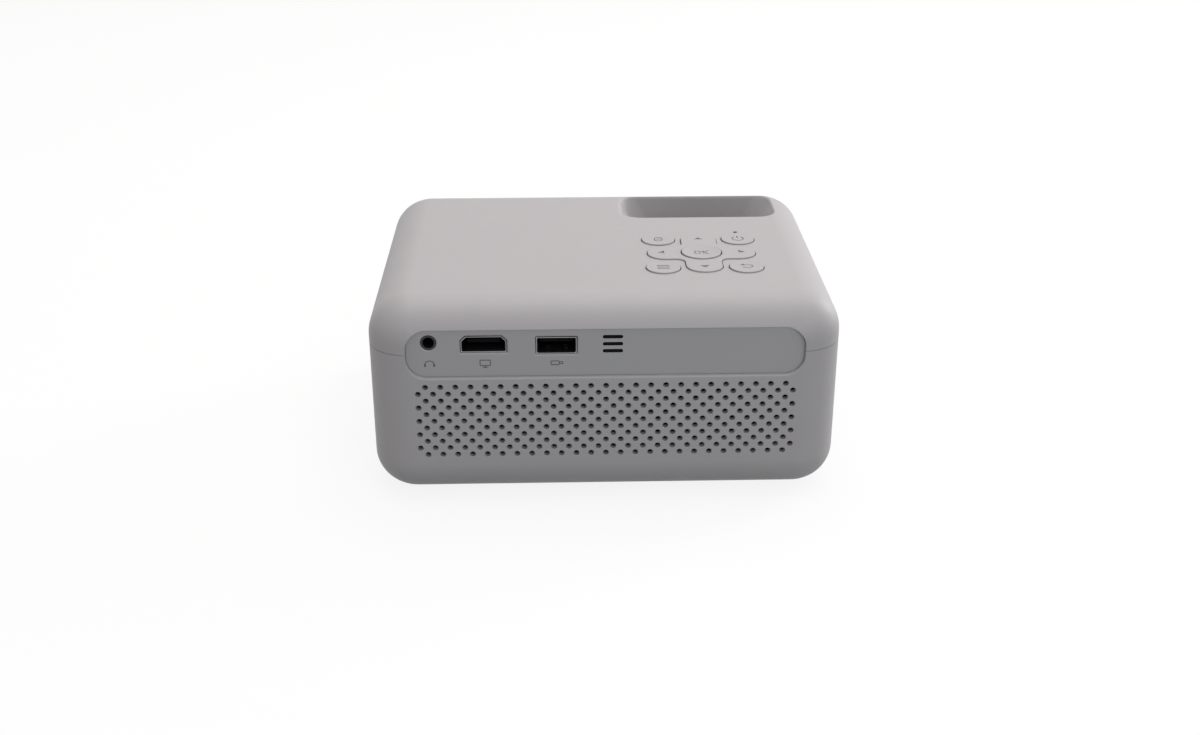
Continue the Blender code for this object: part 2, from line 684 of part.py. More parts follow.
def rests():
    """Blocks on the floor that carry the optical housing, heat sink, fan, speaker and power inlet."""
    made = []
    for x in (ENGINE_LEFT + 2 * PAD_HALF, ENGINE_RIGHT - 2 * PAD_HALF):
        for y in (ENGINE_REAR + PAD_HALF, ENGINE_FRONT - PAD_HALF):
            made.append(
                block(
                    (x - PAD_HALF, y - PAD_HALF, 0),
                    (x + PAD_HALF, y + PAD_HALF, ENGINE_BOTTOM - SEAT_GAP),
                )
            )
    cradle = FAN_SIZE / 2 - PAD_HALF
    for y in (ENGINE_Y - cradle, ENGINE_Y + cradle):
        made.append(
            block(
                (FAN_LEFT, y - PAD_HALF / 2, 0),
                (FAN_RIGHT, y + PAD_HALF / 2, LENS_Z - FAN_SIZE / 2 - SEAT_GAP),
            )
        )
        made.append(
            block(
                (SINK_RIGHT - SINK_BASE, y - PAD_HALF / 2, 0),
                (SINK_RIGHT, y + PAD_HALF / 2, LENS_Z - SINK_SIZE / 2 - SEAT_GAP),
            )
        )
    made.append(
        block(
            (SPEAKER_X - PAD_HALF, REAR, 0),
            (SPEAKER_X + PAD_HALF, SPEAKER_FRONT + SPEAKER_RIM, SPEAKER_Z - SPEAKER_RADIUS - SEAT_GAP),
        )
    )
    made.append(
        block(
            (SIDE - WALL - INLET_LENGTH, INLET_Y - INLET_WIDTH / 2, 0),
            (SIDE, INLET_Y + INLET_WIDTH / 2, BODY_BOTTOM + INLET_RISE - INLET_HEIGHT / 2 - SEAT_GAP),
        )
    )
    return made


def shells():
    """The upper and lower shells, with every opening that is cut through them."""
    body = cut(rounded_body(0), cavity())
    panel = rounded_rectangle((0, SEAM), PANEL_HALF_WIDTH, PANEL_HALF_HEIGHT, PANEL_CORNER, PANEL_STEPS)
    window_low = (JACK_X - JACK_BODY, SEAT_FACE - OVERRUN / 2, BOARD_BOTTOM - SEAT_GAP)
    window_high = (SLOT_X + SLOT_LENGTH, SEAT_BACK + OVERRUN, SEAM + PANEL_HALF_HEIGHT - PANEL_RIM / 2)
    lens_hole = circle((LENS_X, LENS_Z), BEZEL_OUTER + SEAT_GAP, TURN_STEPS)
    body = cut(
        body,
        prism(panel, REAR - OVERRUN, SEAT_FACE, "Y"),
        block(window_low, window_high),
        prism(lens_hole, FRONT - WALL - OVERRUN, FRONT + OVERRUN, "Y"),
    )
    upper, lower = copied(body), body
    span = BODY_WIDTH
    cut(lower, block((-span, -span, SEAM - SEAT_GAP / 2), (span, span, BODY_TOP + span)))
    cut(upper, block((-span, -span, -span), (span, span, SEAM + SEAT_GAP / 2)))
    return cut_upper(upper), cut_lower(lower)


def pocket_outline(lean):
    """The finger pocket's outline, with both ends drawn in by lean."""
    middle = (LENS_X, (POCKET_REAR + POCKET_FRONT) / 2)
    half_depth = (POCKET_FRONT - POCKET_REAR) / 2
    return rounded_rectangle(middle, POCKET_HALF_WIDTH - lean, half_depth, POCKET_CORNER, CORNER_STEPS)


def cut_upper(upper):
    """Key openings, the finger pocket with its slot for the focus ring, and the screw pilots."""
    past_top = BODY_TOP + OVERRUN
    openings = [
        rod(place, KEY_RADIUS + KEY_GAP, CEILING - OVERRUN, past_top, sides=ROUND_STEPS)
        for place in KEY_PLACES.values()
    ]
    openings.append(prism(cross_outline(KEY_GAP), CEILING - OVERRUN, past_top))
    openings.append(rod(LIGHT_PLACE, LIGHT_RADIUS + SEAT_GAP / 2, CEILING - OVERRUN, past_top))
    rings = [(POCKET_LEAN, POCKET_FLOOR), (0, BODY_TOP), (0, past_top)]
    openings.append(loft([lay(pocket_outline(lean), z, "Z") for lean, z in rings]))
    slot_clear = RING_OUTER + SEAT_GAP
    slot_half = math.sqrt(slot_clear**2 - (POCKET_FLOOR - POCKET_WALL - LENS_Z) ** 2) + SEAT_GAP
    slot_margin = SHOULDER_WIDTH
    openings.append(
        block(
            (LENS_X - slot_half, RING_REAR - slot_margin, POCKET_FLOOR - POCKET_WALL - OVERRUN),
            (LENS_X + slot_half, RING_FRONT + slot_margin, POCKET_FLOOR + OVERRUN),
        )
    )
    pilot_top = SCREW_SEAT - SEAT_GAP + SCREW_LENGTH + OVERRUN / 2
    openings += [rod(place, SCREW_HOLE, SEAM - OVERRUN, pilot_top) for place in BOSS_PLACES.values()]
    return cut(upper, *openings)


def cut_lower(lower):
    """The grille, side vents, power opening, screw wells, foot wells and tripod bore."""
    holes = []
    for row in range(GRILLE_ROWS):
        count = GRILLE_COLUMNS + row % 2
        z = GRILLE_TOP - row * GRILLE_PITCH / 2
        for k in range(count):
            x = (k - (count - 1) / 2) * GRILLE_PITCH
            holes.append(
                rod((x, z), GRILLE_HOLE, REAR - OVERRUN, REAR + WALL + OVERRUN, "Y", GRILLE_SIDES)
            )
    openings = [gather(holes)]
    for row in range(VENT_COUNT):
        z = VENT_LOW + row * VENT_PITCH
        for wall in (-1, 1):
            middle = ENGINE_Y if wall < 0 else -ENGINE_Y
            slot = rounded_rectangle(
                (middle, z), VENT_HALF_LENGTH, VENT_HEIGHT / 2, VENT_HEIGHT * 0.45, 1
            )
            start = wall * (SIDE - WALL - OVERRUN)
            openings.append(prism(slot, start, wall * (SIDE + OVERRUN), "X"))
    inlet = (INLET_Y, BODY_BOTTOM + INLET_RISE)
    openings.append(
        rod(inlet, INLET_OPENING, SIDE - WALL - OVERRUN, SIDE + OVERRUN, "X", ROUND_STEPS)
    )
    for place in BOSS_PLACES.values():
        openings.append(rod(place, SCREW_WELL, -OVERRUN, SCREW_SEAT))
        openings.append(rod(place, SCREW_HOLE, SCREW_SEAT - OVERRUN, SEAM + OVERRUN))
    pilot_bottom = BOARD_TOP - SHORT_SCREW_LENGTH - OVERRUN / 2
    openings += [rod(place, SCREW_HOLE, pilot_bottom, BOARD_BOTTOM) for place in POST_PLACES.values()]
    for place in FOOT_PLACES.values():
        well = FOOT_RADIUS + SEAT_GAP
        openings.append(rod(place, well, -OVERRUN, BODY_BOTTOM + FOOT_WELL, sides=ROUND_STEPS))
    openings.append(
        rod((0, 0), TRIPOD_RADIUS + SEAT_GAP, -OVERRUN, BODY_BOTTOM + TRIPOD_LENGTH + OVERRUN)
    )
    return cut(lower, *openings)


def feet(rubber):
    """Four rubber feet, each seated in a shallow well."""
    for name, place in FOOT_PLACES.items():
        top = BODY_BOTTOM + FOOT_WELL - SEAT_GAP
        profile = [
            (0, 0),
            (FOOT_RADIUS - FOOT_EDGE, 0),
            (FOOT_RADIUS, FOOT_EDGE),
            (FOOT_RADIUS, top),
            (0, top),
        ]
        name_piece(turned(profile, place, "Z", ROUND_STEPS), name, rubber)


def screw(place, top_is_head, seat, length):
    """A pan-head screw. Its seat is the level that the underside of its head is drawn against."""
    side = 1 if top_is_head else -1
    head = seat + side * SCREW_HEAD_HEIGHT
    tip = seat - side * length
    profile = [
        (0, head),
        (SCREW_HEAD, head),
        (SCREW_HEAD, seat),
        (SCREW_SHANK, seat),
        (SCREW_SHANK, tip + side * SCREW_SHANK),
        (0, tip),
    ]
    return turned(profile, place, "Z", SCREW_SIDES)


def fasteners(steel, brass):
    """Case screws driven from below, board screws driven from above, and the tripod insert."""
    for name, place in BOSS_PLACES.items():
        name_piece(screw(place, False, SCREW_SEAT - SEAT_GAP, SCREW_LENGTH), name, steel)
    for name, place in POST_PLACES.items():
        name_piece(screw(place, True, BOARD_TOP + SEAT_GAP, SHORT_SCREW_LENGTH), name, steel)
    bottom, top = BODY_BOTTOM + SEAT_GAP, BODY_BOTTOM + TRIPOD_LENGTH
    profile = [(TRIPOD_BORE, bottom), (TRIPOD_RADIUS, bottom), (TRIPOD_RADIUS, top), (TRIPOD_BORE, top)]
    name_piece(turned(profile, (0, 0), "Z", ROUND_STEPS), "tripod_insert", brass)


def drilled_board(low, high, places, hole):
    """A circuit board with a hole at each place."""
    return cut(block(low, high), *[rod(place, hole, low[2] - OVERRUN, high[2] + OVERRUN) for place in places])


def video_outline(shrink):
    """The wide socket's outline, with both upper corners cut off."""
    half, low = VIDEO_WIDTH / 2 - shrink, VIDEO_RISE + BODY_BOTTOM - VIDEO_HEIGHT / 2 + shrink
    high = low + VIDEO_HEIGHT - 2 * shrink
    return [
        (VIDEO_X - half, low),
        (VIDEO_X + half, low),
        (VIDEO_X + half, high - VIDEO_CHAMFER),
        (VIDEO_X + half - VIDEO_CHAMFER, high),
        (VIDEO_X - half + VIDEO_CHAMFER, high),
        (VIDEO_X - half, high - VIDEO_CHAMFER),
    ]


def data_outline(shrink):
    """The other socket's plain outline."""
    half_x, half_z = DATA_WIDTH / 2 - shrink, DATA_HEIGHT / 2 - shrink
    z = BODY_BOTTOM + DATA_RISE
    return [
        (DATA_X - half_x, z - half_z),
        (DATA_X + half_x, z - half_z),
        (DATA_X + half_x, z + half_z),
        (DATA_X - half_x, z + half_z),
    ]


def port_panel(plastic):
    """The flat plate round the sockets, with its windows and three slots."""
    outline = rounded_rectangle(
        (0, SEAM),
        PANEL_HALF_WIDTH - SEAT_GAP,
        PANEL_HALF_HEIGHT - SEAT_GAP,
        PANEL_CORNER - SEAT_GAP,
        PANEL_STEPS,
    )
    start, end = PANEL_FACE - OVERRUN, PANEL_BACK + OVERRUN
    windows = [
        rod((JACK_X, BODY_BOTTOM + JACK_RISE), JACK_COLLAR + SEAT_GAP, start, end, "Y", ROUND_STEPS),
        prism(video_outline(-WINDOW_MARGIN), start, end, "Y"),
        prism(data_outline(-WINDOW_MARGIN), start, end, "Y"),
    ]
    for row in range(SLOT_COUNT):
        z = BODY_BOTTOM + SLOT_TOP_RISE - row * SLOT_PITCH
        radius = SLOT_HEIGHT * 0.45
        slot = rounded_rectangle((SLOT_X, z), SLOT_LENGTH / 2, SLOT_HEIGHT / 2, radius, 2)
        windows.append(prism(slot, start, end, "Y"))
    name_piece(cut(prism(outline, PANEL_FACE, PANEL_BACK, "Y"), *windows), "port_panel", plastic)


def sockets(steel, black):
    """The three sockets behind the port panel, on the main board."""
    mouth = PANEL_FACE + SOCKET_SETBACK
    video_end = mouth + VIDEO_LENGTH
    shell = cut(
        prism(video_outline(0), mouth, video_end, "Y"),
        prism(video_outline(VIDEO_SKIN), mouth - OVERRUN, video_end - SOCKET_BACK, "Y"),
    )
    foot_low = BOARD_TOP + SEAT_GAP
    foot_high = BODY_BOTTOM + VIDEO_RISE - VIDEO_HEIGHT / 2 + VIDEO_SKIN / 2
    for side in (-1, 1):
        x = VIDEO_X + side * (VIDEO_WIDTH / 2 - VIDEO_CHAMFER)
        low = (x - VIDEO_SKIN, BOARD_REAR + VIDEO_SKIN, foot_low)
        join(shell, block(low, (x + VIDEO_SKIN, video_end - VIDEO_SKIN, foot_high)))
    name_piece(shell, "video_socket", steel)
    tongue_z = BODY_BOTTOM + VIDEO_RISE + VIDEO_SKIN
    name_piece(
        block(
            (VIDEO_X - VIDEO_TONGUE_WIDTH / 2, mouth + SOCKET_BACK, tongue_z - VIDEO_TONGUE_THICK / 2),
            (
                VIDEO_X + VIDEO_TONGUE_WIDTH / 2,
                video_end - SOCKET_BACK - SEAT_GAP,
                tongue_z + VIDEO_TONGUE_THICK / 2,
            ),
        ),
        "video_tongue",
        black,
    )
    data_end = mouth + DATA_LENGTH
    name_piece(
        cut(
            prism(data_outline(0), mouth, data_end, "Y"),
            prism(data_outline(DATA_SKIN), mouth - OVERRUN, data_end - SOCKET_BACK, "Y"),
        ),
        "data_socket",
        steel,
    )
    tongue_top = BODY_BOTTOM + DATA_RISE + DATA_HEIGHT / 2 - DATA_SKIN - SEAT_GAP
    name_piece(
        block(
            (DATA_X - DATA_TONGUE_WIDTH / 2, mouth + SOCKET_BACK, tongue_top - DATA_TONGUE_THICK),
            (DATA_X + DATA_TONGUE_WIDTH / 2, data_end - SOCKET_BACK - SEAT_GAP, tongue_top),
        ),
        "data_tongue",
        black,
    )
    jack_z = BODY_BOTTOM + JACK_RISE
    jack_end = PANEL_BACK + SEAT_GAP + JACK_LENGTH
    jack = join(
        block(
            (JACK_X - JACK_BODY / 2, PANEL_BACK + SEAT_GAP, BOARD_TOP + SEAT_GAP),
            (JACK_X + JACK_BODY / 2, jack_end, jack_z + JACK_BODY / 2),
        ),
        rod((JACK_X, jack_z), JACK_COLLAR, mouth, PANEL_BACK + OVERRUN, "Y", ROUND_STEPS),
    )
    bore = rod((JACK_X, jack_z), JACK_BORE, mouth - OVERRUN, jack_end - SOCKET_BACK, "Y", ROUND_STEPS)
    name_piece(cut(jack, bore), "audio_jack", black)


def board_parts(green, black):
    """The main board with the chips and capacitors soldered to it, and the remote-control receiver."""
    low = (-BOARD_HALF_WIDTH, BOARD_REAR, BOARD_BOTTOM)
    high = (BOARD_HALF_WIDTH, BOARD_FRONT, BOARD_TOP)
    board = drilled_board(low, high, POST_PLACES.values(), SCREW_HOLE)
    root = BOARD_TOP - BOARD_THICK / 2
    middle = (BOARD_REAR + BOARD_FRONT) / 2
    for x in [BOARD_HALF_WIDTH * share for share in CHIP_PLACE_SHARES]:
        chip_low = (x - CHIP_SIZE / 2, middle - CHIP_SIZE / 2, root)
        join(board, block(chip_low, (x + CHIP_SIZE / 2, middle + CHIP_SIZE / 2, BOARD_TOP + CHIP_THICK)))
    row = BOARD_FRONT - CAPACITOR_RADIUS * 2
    for x in [BOARD_HALF_WIDTH * share for share in CAPACITOR_PLACE_SHARES]:
        join(board, rod((x, row), CAPACITOR_RADIUS, root, BOARD_TOP + CAPACITOR_HEIGHT))
    name_piece(board, "main_board", green)
    seat = BOARD_TOP + SEAT_GAP
    rear = BOARD_REAR + SEAT_GAP
    receiver = block(
        (SLOT_X - RECEIVER_WIDTH / 2, rear, seat),
        (SLOT_X + RECEIVER_WIDTH / 2, rear + RECEIVER_DEPTH, seat + RECEIVER_HEIGHT),
    )
    name_piece(receiver, "ir_receiver", black)


def key_profile(radius, proud, dish):
    """A round key from its dished top down to the tip of its stem."""
    top = BODY_TOP + proud
    lip_top = CEILING - SEAT_GAP
    lip_bottom = lip_top - KEY_LIP_THICK
    return [
        (0, top - dish),
        (radius / 2, top - dish * 0.72),
        (radius - KEY_EDGE * 2, top - dish * 0.06),
        (radius - KEY_EDGE, top),
        (radius, top - KEY_EDGE),
        (radius, lip_top),
        (radius + KEY_LIP, lip_top),
        (radius + KEY_LIP, lip_bottom),
        (KEY_STEM, lip_bottom),
        (KEY_STEM, STEM_BOTTOM),
        (0, STEM_BOTTOM),
    ]


def ok_profile():
    """The middle key, whose lip sits in a step under the rocker."""
    top = BODY_TOP + OK_PROUD
    lip_top = rocker_bottom() + ROCKER_STEP - OK_LIP_DROP
    lip_bottom = lip_top - KEY_LIP_THICK
    return [
        (0, top - OK_DISH),
        (OK_RADIUS / 3, top - OK_DISH * 0.88),
        (OK_RADIUS * 2 / 3, top - OK_DISH * 0.52),
        (OK_RADIUS - KEY_EDGE * 2, top - OK_DISH * 0.06),
        (OK_RADIUS - KEY_EDGE, top),
        (OK_RADIUS, top - KEY_EDGE),
        (OK_RADIUS, lip_top),
        (OK_RADIUS + KEY_LIP, lip_top),
        (OK_RADIUS + KEY_LIP, lip_bottom),
        (KEY_STEM, lip_bottom),
        (KEY_STEM, STEM_BOTTOM),
        (0, STEM_BOTTOM),
    ]


def rocker_bottom():
    """The level of the rocker's underside, which it also tilts about."""
    return CEILING - ROCKER_DROP - ROCKER_LIP_THICK


def round_keys(plastic):
    """The four round keys and the middle one, each on its own stem."""
    for name, place in KEY_PLACES.items():
        key = turned(key_profile(KEY_RADIUS, KEY_PROUD, KEY_EDGE / 2), place, "Z", ROUND_STEPS)
        name_piece(key, name, plastic, (*place, BODY_TOP))
    middle = (PAD_X, PAD_Y)
    ok_key = turned(ok_profile(), middle, "Z", ROUND_STEPS)
    name_piece(ok_key, "ok_button", plastic, (*middle, BODY_TOP))


def rocker(plastic, rubber):
    """The four-way rocker and the soft collar that it tilts on."""
    middle = (PAD_X, PAD_Y)
    bottom = rocker_bottom()
    top = BODY_TOP + KEY_PROUD
    rings = [
        (KEY_LIP, bottom),
        (KEY_LIP, bottom + ROCKER_LIP_THICK),
        (0, bottom + ROCKER_LIP_THICK),
        (0, top - KEY_EDGE),
        (-KEY_EDGE, top),
    ]
    cross = loft([lay(cross_outline(grow), z, "Z") for grow, z in rings])
    hole = OK_RADIUS + KEY_GAP
    step = OK_RADIUS + KEY_LIP + KEY_GAP
    cut(
        cross,
        rod(middle, hole, bottom - OVERRUN, top + OVERRUN, sides=ROUND_STEPS),
        rod(middle, step, bottom - OVERRUN, bottom + ROCKER_STEP, sides=ROUND_STEPS),
    )
    join(cross, *[rod(place, KEY_STEM, STEM_BOTTOM, bottom + SEAT_GAP) for place in ARM_PLACES])
    pivot = (*middle, bottom)
    name_piece(cross, "dpad_rocker", plastic, pivot)
    collar_bottom = KEYPAD_BOARD_TOP + ROCKER_SEAT
    collar_top = bottom - COLLAR_GAP
    profile = [
        (COLLAR_INNER, collar_bottom),
        (COLLAR_OUTER, collar_bottom),
        (COLLAR_OUTER, collar_top),
        (COLLAR_INNER, collar_top),
    ]
    name_piece(turned(profile, middle, "Z", ROUND_STEPS), "dpad_collar", rubber, pivot)


def keypad_electronics(green, glow):
    """The keypad board with its soldered switches, staked under the top, and the light pipe."""
    reach_x, reach_y = KEYPAD_POST_X + KEYPAD_MARGIN, KEYPAD_POST_Y + KEYPAD_MARGIN
    low = (PAD_X - reach_x, PAD_Y - reach_y, KEYPAD_BOARD_TOP - BOARD_THICK)
    high = (PAD_X + reach_x, PAD_Y + reach_y, KEYPAD_BOARD_TOP)
    board = drilled_board(low, high, KEYPAD_POSTS, STAKE_RADIUS + SCREW_CLEARANCE)
    half = SWITCH_SIZE / 2
    root = KEYPAD_BOARD_TOP - BOARD_THICK / 2
    for x, y in [(PAD_X, PAD_Y), *KEY_PLACES.values(), *ARM_PLACES]:
        join(board, block((x - half, y - half, root), (x + half, y + half, SWITCH_TOP)))
    name_piece(board, "keypad_board", green)
    profile = [
        (0, BODY_TOP),
        (LIGHT_RADIUS, BODY_TOP),
        (LIGHT_RADIUS, CEILING - SEAT_GAP),
        (LIGHT_STEM, CEILING - SEAT_GAP),
        (LIGHT_STEM, KEYPAD_BOARD_TOP + SEAT_GAP),
        (0, KEYPAD_BOARD_TOP + SEAT_GAP),
    ]
    name_piece(turned(profile, LIGHT_PLACE, "Z", SCREW_SIDES), "status_light", glow)


def lens_group(black, dark, glass, steel):
    """The sleeve, the focus ring round it and the barrel that it drives along the axis."""
    axis = (LENS_X, LENS_Z)
    flange_rear = ENGINE_FRONT + SEAT_GAP
    flange_front = flange_rear + MOUNT_FLANGE_THICK
    shoulder_front = RING_REAR - SEAT_GAP
    profile = [
        (SLEEVE_INNER, flange_rear),
        (MOUNT_FLANGE, flange_rear),
        (MOUNT_FLANGE, flange_front),
        (SLEEVE_OUTER, flange_front),
        (SLEEVE_OUTER, shoulder_front - SHOULDER_WIDTH),
        (SHOULDER_OUTER, shoulder_front - SHOULDER_WIDTH),
        (SHOULDER_OUTER, shoulder_front),
        (SLEEVE_OUTER, shoulder_front),
        (SLEEVE_OUTER, SLEEVE_FRONT),
        (SLEEVE_INNER, SLEEVE_FRONT),
    ]
    mount = turned(profile, axis, "Y")
    ring_middle = (RING_REAR + RING_FRONT) / 2
    slot_half = FOCUS_TRAVEL + CAM_PIN_RADIUS + CAM_CLEARANCE
    slot_side = CAM_PIN_RADIUS + CAM_CLEARANCE
    cut(
        mount,
        block(
            (LENS_X - slot_side, ring_middle - slot_half, LENS_Z - SLEEVE_OUTER - OVERRUN),
            (LENS_X + slot_side, ring_middle + slot_half, LENS_Z - SLEEVE_INNER + OVERRUN),
        ),
    )
    name_piece(mount, "lens_mount", dark)

    count = 2 * RING_RIDGES
    ridges = [
        (
            axis[0] + (RING_OUTER - RING_RIDGE * (k % 2)) * math.cos(2 * math.pi * k / count),
            axis[1] + (RING_OUTER - RING_RIDGE * (k % 2)) * math.sin(2 * math.pi * k / count),
        )
        for k in range(count)
    ]
    ring_inner = SLEEVE_OUTER + SEAT_GAP
    ring = cut(
        prism(ridges, RING_REAR, RING_FRONT, "Y"),
        rod(axis, ring_inner, RING_REAR - OVERRUN, RING_FRONT + OVERRUN, "Y", TURN_STEPS),
        cam_groove(axis, ring_inner, ring_middle),
    )
    name_piece(ring, "focus_ring", black, (LENS_X, ring_middle, LENS_Z))
    clip_rear = RING_FRONT + SEAT_GAP
    profile = [
        (SLEEVE_OUTER + SEAT_GAP, clip_rear),
        (SHOULDER_OUTER, clip_rear),
        (SHOULDER_OUTER, clip_rear + SHOULDER_WIDTH / 2),
        (SLEEVE_OUTER + SEAT_GAP, clip_rear + SHOULDER_WIDTH / 2),
    ]
    name_piece(turned(profile, axis, "Y"), "focus_ring_clip", steel)

    lip = BARREL_INNER - BARREL_LIP
    lens_wide = LENS_EDGE + 2 * SEAT_GAP
    front_seat = BARREL_FRONT - FRONT_LENS_SETBACK - lens_wide
    rear_seat = BARREL_REAR + BARREL_LIP
    profile = [
        (BARREL_OUTER, BARREL_REAR),
        (BARREL_OUTER, BARREL_FRONT),
        (BARREL_INNER, BARREL_FRONT),
        (BARREL_INNER, front_seat),
        (lip, front_seat),
        (lip, rear_seat + lens_wide),
        (BARREL_INNER, rear_seat + lens_wide),
        (BARREL_INNER, rear_seat),
        (lip, rear_seat),
        (lip, BARREL_REAR),
    ]
    name_piece(turned(profile, axis, "Y"), "lens_barrel", black)
    retainer_rear = front_seat + lens_wide
    profile = [
        (lip, retainer_rear),
        (BARREL_INNER - SEAT_GAP, retainer_rear),
        (BARREL_INNER - SEAT_GAP, retainer_rear + BARREL_LIP),
        (lip, retainer_rear + BARREL_LIP),
    ]
    name_piece(turned(profile, axis, "Y"), "lens_retainer", dark)
    pin_top = LENS_Z - BARREL_OUTER - SEAT_GAP
    pin_bottom = LENS_Z - ring_inner - CAM_DEPTH + CAM_CLEARANCE
    pin = rod((LENS_X, ring_middle), CAM_PIN_RADIUS, pin_bottom, pin_top, "Z")
    name_piece(pin, "cam_pin", steel)
    for name, seat in (("front_lens", front_seat), ("rear_lens", rear_seat)):
        name_piece(turned(lens_profile(seat + SEAT_GAP), axis, "Y"), name, glass)

    wall_inner = FRONT - WALL
    profile = [
        (BEZEL_INNER, wall_inner - SEAT_GAP - BEZEL_THICK),
        (BEZEL_FLANGE, wall_inner - SEAT_GAP - BEZEL_THICK),
        (BEZEL_FLANGE, wall_inner - SEAT_GAP),
        (BEZEL_OUTER, wall_inner - SEAT_GAP),
        (BEZEL_OUTER, FRONT),
        (BEZEL_OUTER - BEZEL_THICK / 2, FRONT),
    ]
    name_piece(turned(profile, axis, "Y"), "lens_bezel", black)


def cam_groove(axis, ring_inner, middle):
    """The slanting groove inside the focus ring. It moves the pin forward as the ring turns."""
    reach = FOCUS_TURN + CAM_MARGIN
    half = CAM_PIN_RADIUS + CAM_CLEARANCE
    slope = FOCUS_TRAVEL / FOCUS_TURN
    rings = []
    for k in range(CAM_STEPS + 1):
        angle = -reach + 2 * reach * k / CAM_STEPS
        # Angle 0 points down to the pin. A positive one lies towards -X, as a turn about +Y goes.
        across, down = -math.sin(angle), -math.cos(angle)
        level = middle - slope * angle
        rings.append(
            [
                Vector((axis[0] + across * radius, level + side * half, axis[1] + down * radius))
                for radius, side in (
                    (ring_inner - SEAT_GAP, -1),
                    (ring_inner + CAM_DEPTH, -1),
                    (ring_inner + CAM_DEPTH, 1),
                    (ring_inner - SEAT_GAP, 1),
                )
            ]
        )
    return loft(rings)


def lens_profile(rear):
    """A lens that bulges on both faces, from its rear edge level forward."""
    radius = BARREL_INNER - SEAT_GAP
    flat = radius - BARREL_LIP - SEAT_GAP
    front = rear + LENS_EDGE
    back_curve = [(flat * math.sqrt(share), rear - LENS_BULGE * (1 - share)) for share in (0, 0.3, 0.65)]
    front_curve = [(flat * math.sqrt(share), front + LENS_BULGE * (1 - share)) for share in (0.65, 0.3, 0)]
    return [*back_curve, (flat, rear), (radius, rear), (radius, front), (flat, front), *front_curve]


def optics(dark, glass, mirror_face, cell):
    """The optical housing with its mirror, condenser, picture cell and field lens."""
    low = (ENGINE_LEFT, ENGINE_REAR, ENGINE_BOTTOM)
    high = (ENGINE_RIGHT, ENGINE_FRONT, LENS_Z + ENGINE_HALF_HEIGHT)
    inner_low = (ENGINE_LEFT - OVERRUN, ENGINE_REAR + ENGINE_WALL, ENGINE_BOTTOM + ENGINE_WALL)
    inner_high = (ENGINE_RIGHT - ENGINE_WALL, ENGINE_FRONT - ENGINE_WALL, high[2] - ENGINE_WALL)
    outline = circle((LENS_X, LENS_Z), ENGINE_EYE, TURN_STEPS)
    eye = prism(outline, inner_high[1] - OVERRUN, ENGINE_FRONT + OVERRUN, "Y")
    housing = cut(block(low, high), block(inner_low, inner_high), eye)
    for level in (ENGINE_BOTTOM + ENGINE_WALL / 2, high[2] - ENGINE_WALL / 2 - MIRROR_LEDGE):
        join(housing, prism(mirror_seat(), level, level + MIRROR_LEDGE))
    name_piece(housing, "optical_housing", dark)

    half_y = ENGINE_HALF_DEPTH - ENGINE_WALL - SEAT_GAP
    half_z = ENGINE_HALF_HEIGHT - ENGINE_WALL - SEAT_GAP
    pieces = {
        "condenser_lens": glass,
        "lcd_cell": cell,
        "field_lens": glass,
    }
    for place, (name, surface) in enumerate(pieces.items()):
        left = CONDENSER_LEFT + place * OPTIC_SPACING
        name_piece(plate_across(left, left + OPTIC_THICK, half_y, half_z), name, surface)
    along = MIRROR_REACH
    thick = MIRROR_THICK * math.sqrt(0.5)
    outline = [
        (LENS_X - along, ENGINE_Y - along),
        (LENS_X - along + thick, ENGINE_Y - along - thick),
        (LENS_X + along + thick, ENGINE_Y + along - thick),
        (LENS_X + along, ENGINE_Y + along),
    ]
    name_piece(prism(outline, LENS_Z - half_z, LENS_Z + half_z), "mirror", mirror_face)


def plate_across(left, right, half_y, half_z):
    """A plate that stands across the light's path, centred on it."""
    low = (left, ENGINE_Y - half_y, LENS_Z - half_z)
    return block(low, (right, ENGINE_Y + half_y, LENS_Z + half_z))


def mirror_seat():
    """The outline of a ledge that fills the corner behind the mirror."""
    behind = MIRROR_THICK * math.sqrt(0.5) + SEAT_GAP
    corner_x = ENGINE_RIGHT - ENGINE_WALL / 2
    corner_y = ENGINE_REAR + ENGINE_WALL / 2
    slant = LENS_X - ENGINE_Y + 2 * behind
    return [(corner_y + slant, corner_y), (corner_x, corner_y), (corner_x, corner_x - slant)]


def light_source(alloy, pcb_white, phosphor, chrome):
    """The lamp: a chip on its board, a reflector in front of it and a heat sink behind."""
    axis = (ENGINE_Y, LENS_Z)
    profile = [
        (REFLECTOR_SMALL, REFLECTOR_LEFT),
        (REFLECTOR_LARGE, REFLECTOR_RIGHT),
        (REFLECTOR_LARGE + REFLECTOR_SKIN, REFLECTOR_RIGHT),
        (REFLECTOR_SMALL + REFLECTOR_SKIN, REFLECTOR_LEFT),
    ]
    name_piece(turned(profile, axis, "X", ROUND_STEPS), "reflector", chrome)
    for name, left, thick, size, surface in (
        ("led_chip", LED_CHIP_LEFT, LED_CHIP_THICK, LED_CHIP_SIZE, phosphor),
        ("led_board", LED_BOARD_LEFT, LED_BOARD_THICK, LED_BOARD_SIZE, pcb_white),
    ):
        name_piece(plate_across(left, left + thick, size / 2, size / 2), name, surface)
    half = SINK_SIZE / 2
    base_left = SINK_RIGHT - SINK_BASE
    pitch = (SINK_SIZE - SINK_FIN_THICK) / (SINK_FINS - 1)
    outline = [(SINK_RIGHT, ENGINE_Y - half), (SINK_RIGHT, ENGINE_Y + half)]
    for k in reversed(range(SINK_FINS)):
        fin = ENGINE_Y - half + k * pitch
        outline += [(base_left, fin + SINK_FIN_THICK)] if k < SINK_FINS - 1 else []
        outline += [(SINK_LEFT, fin + SINK_FIN_THICK), (SINK_LEFT, fin)]
        outline += [(base_left, fin)] if k > 0 else []
    name_piece(prism(outline, LENS_Z - half, LENS_Z + half), "heat_sink", alloy)


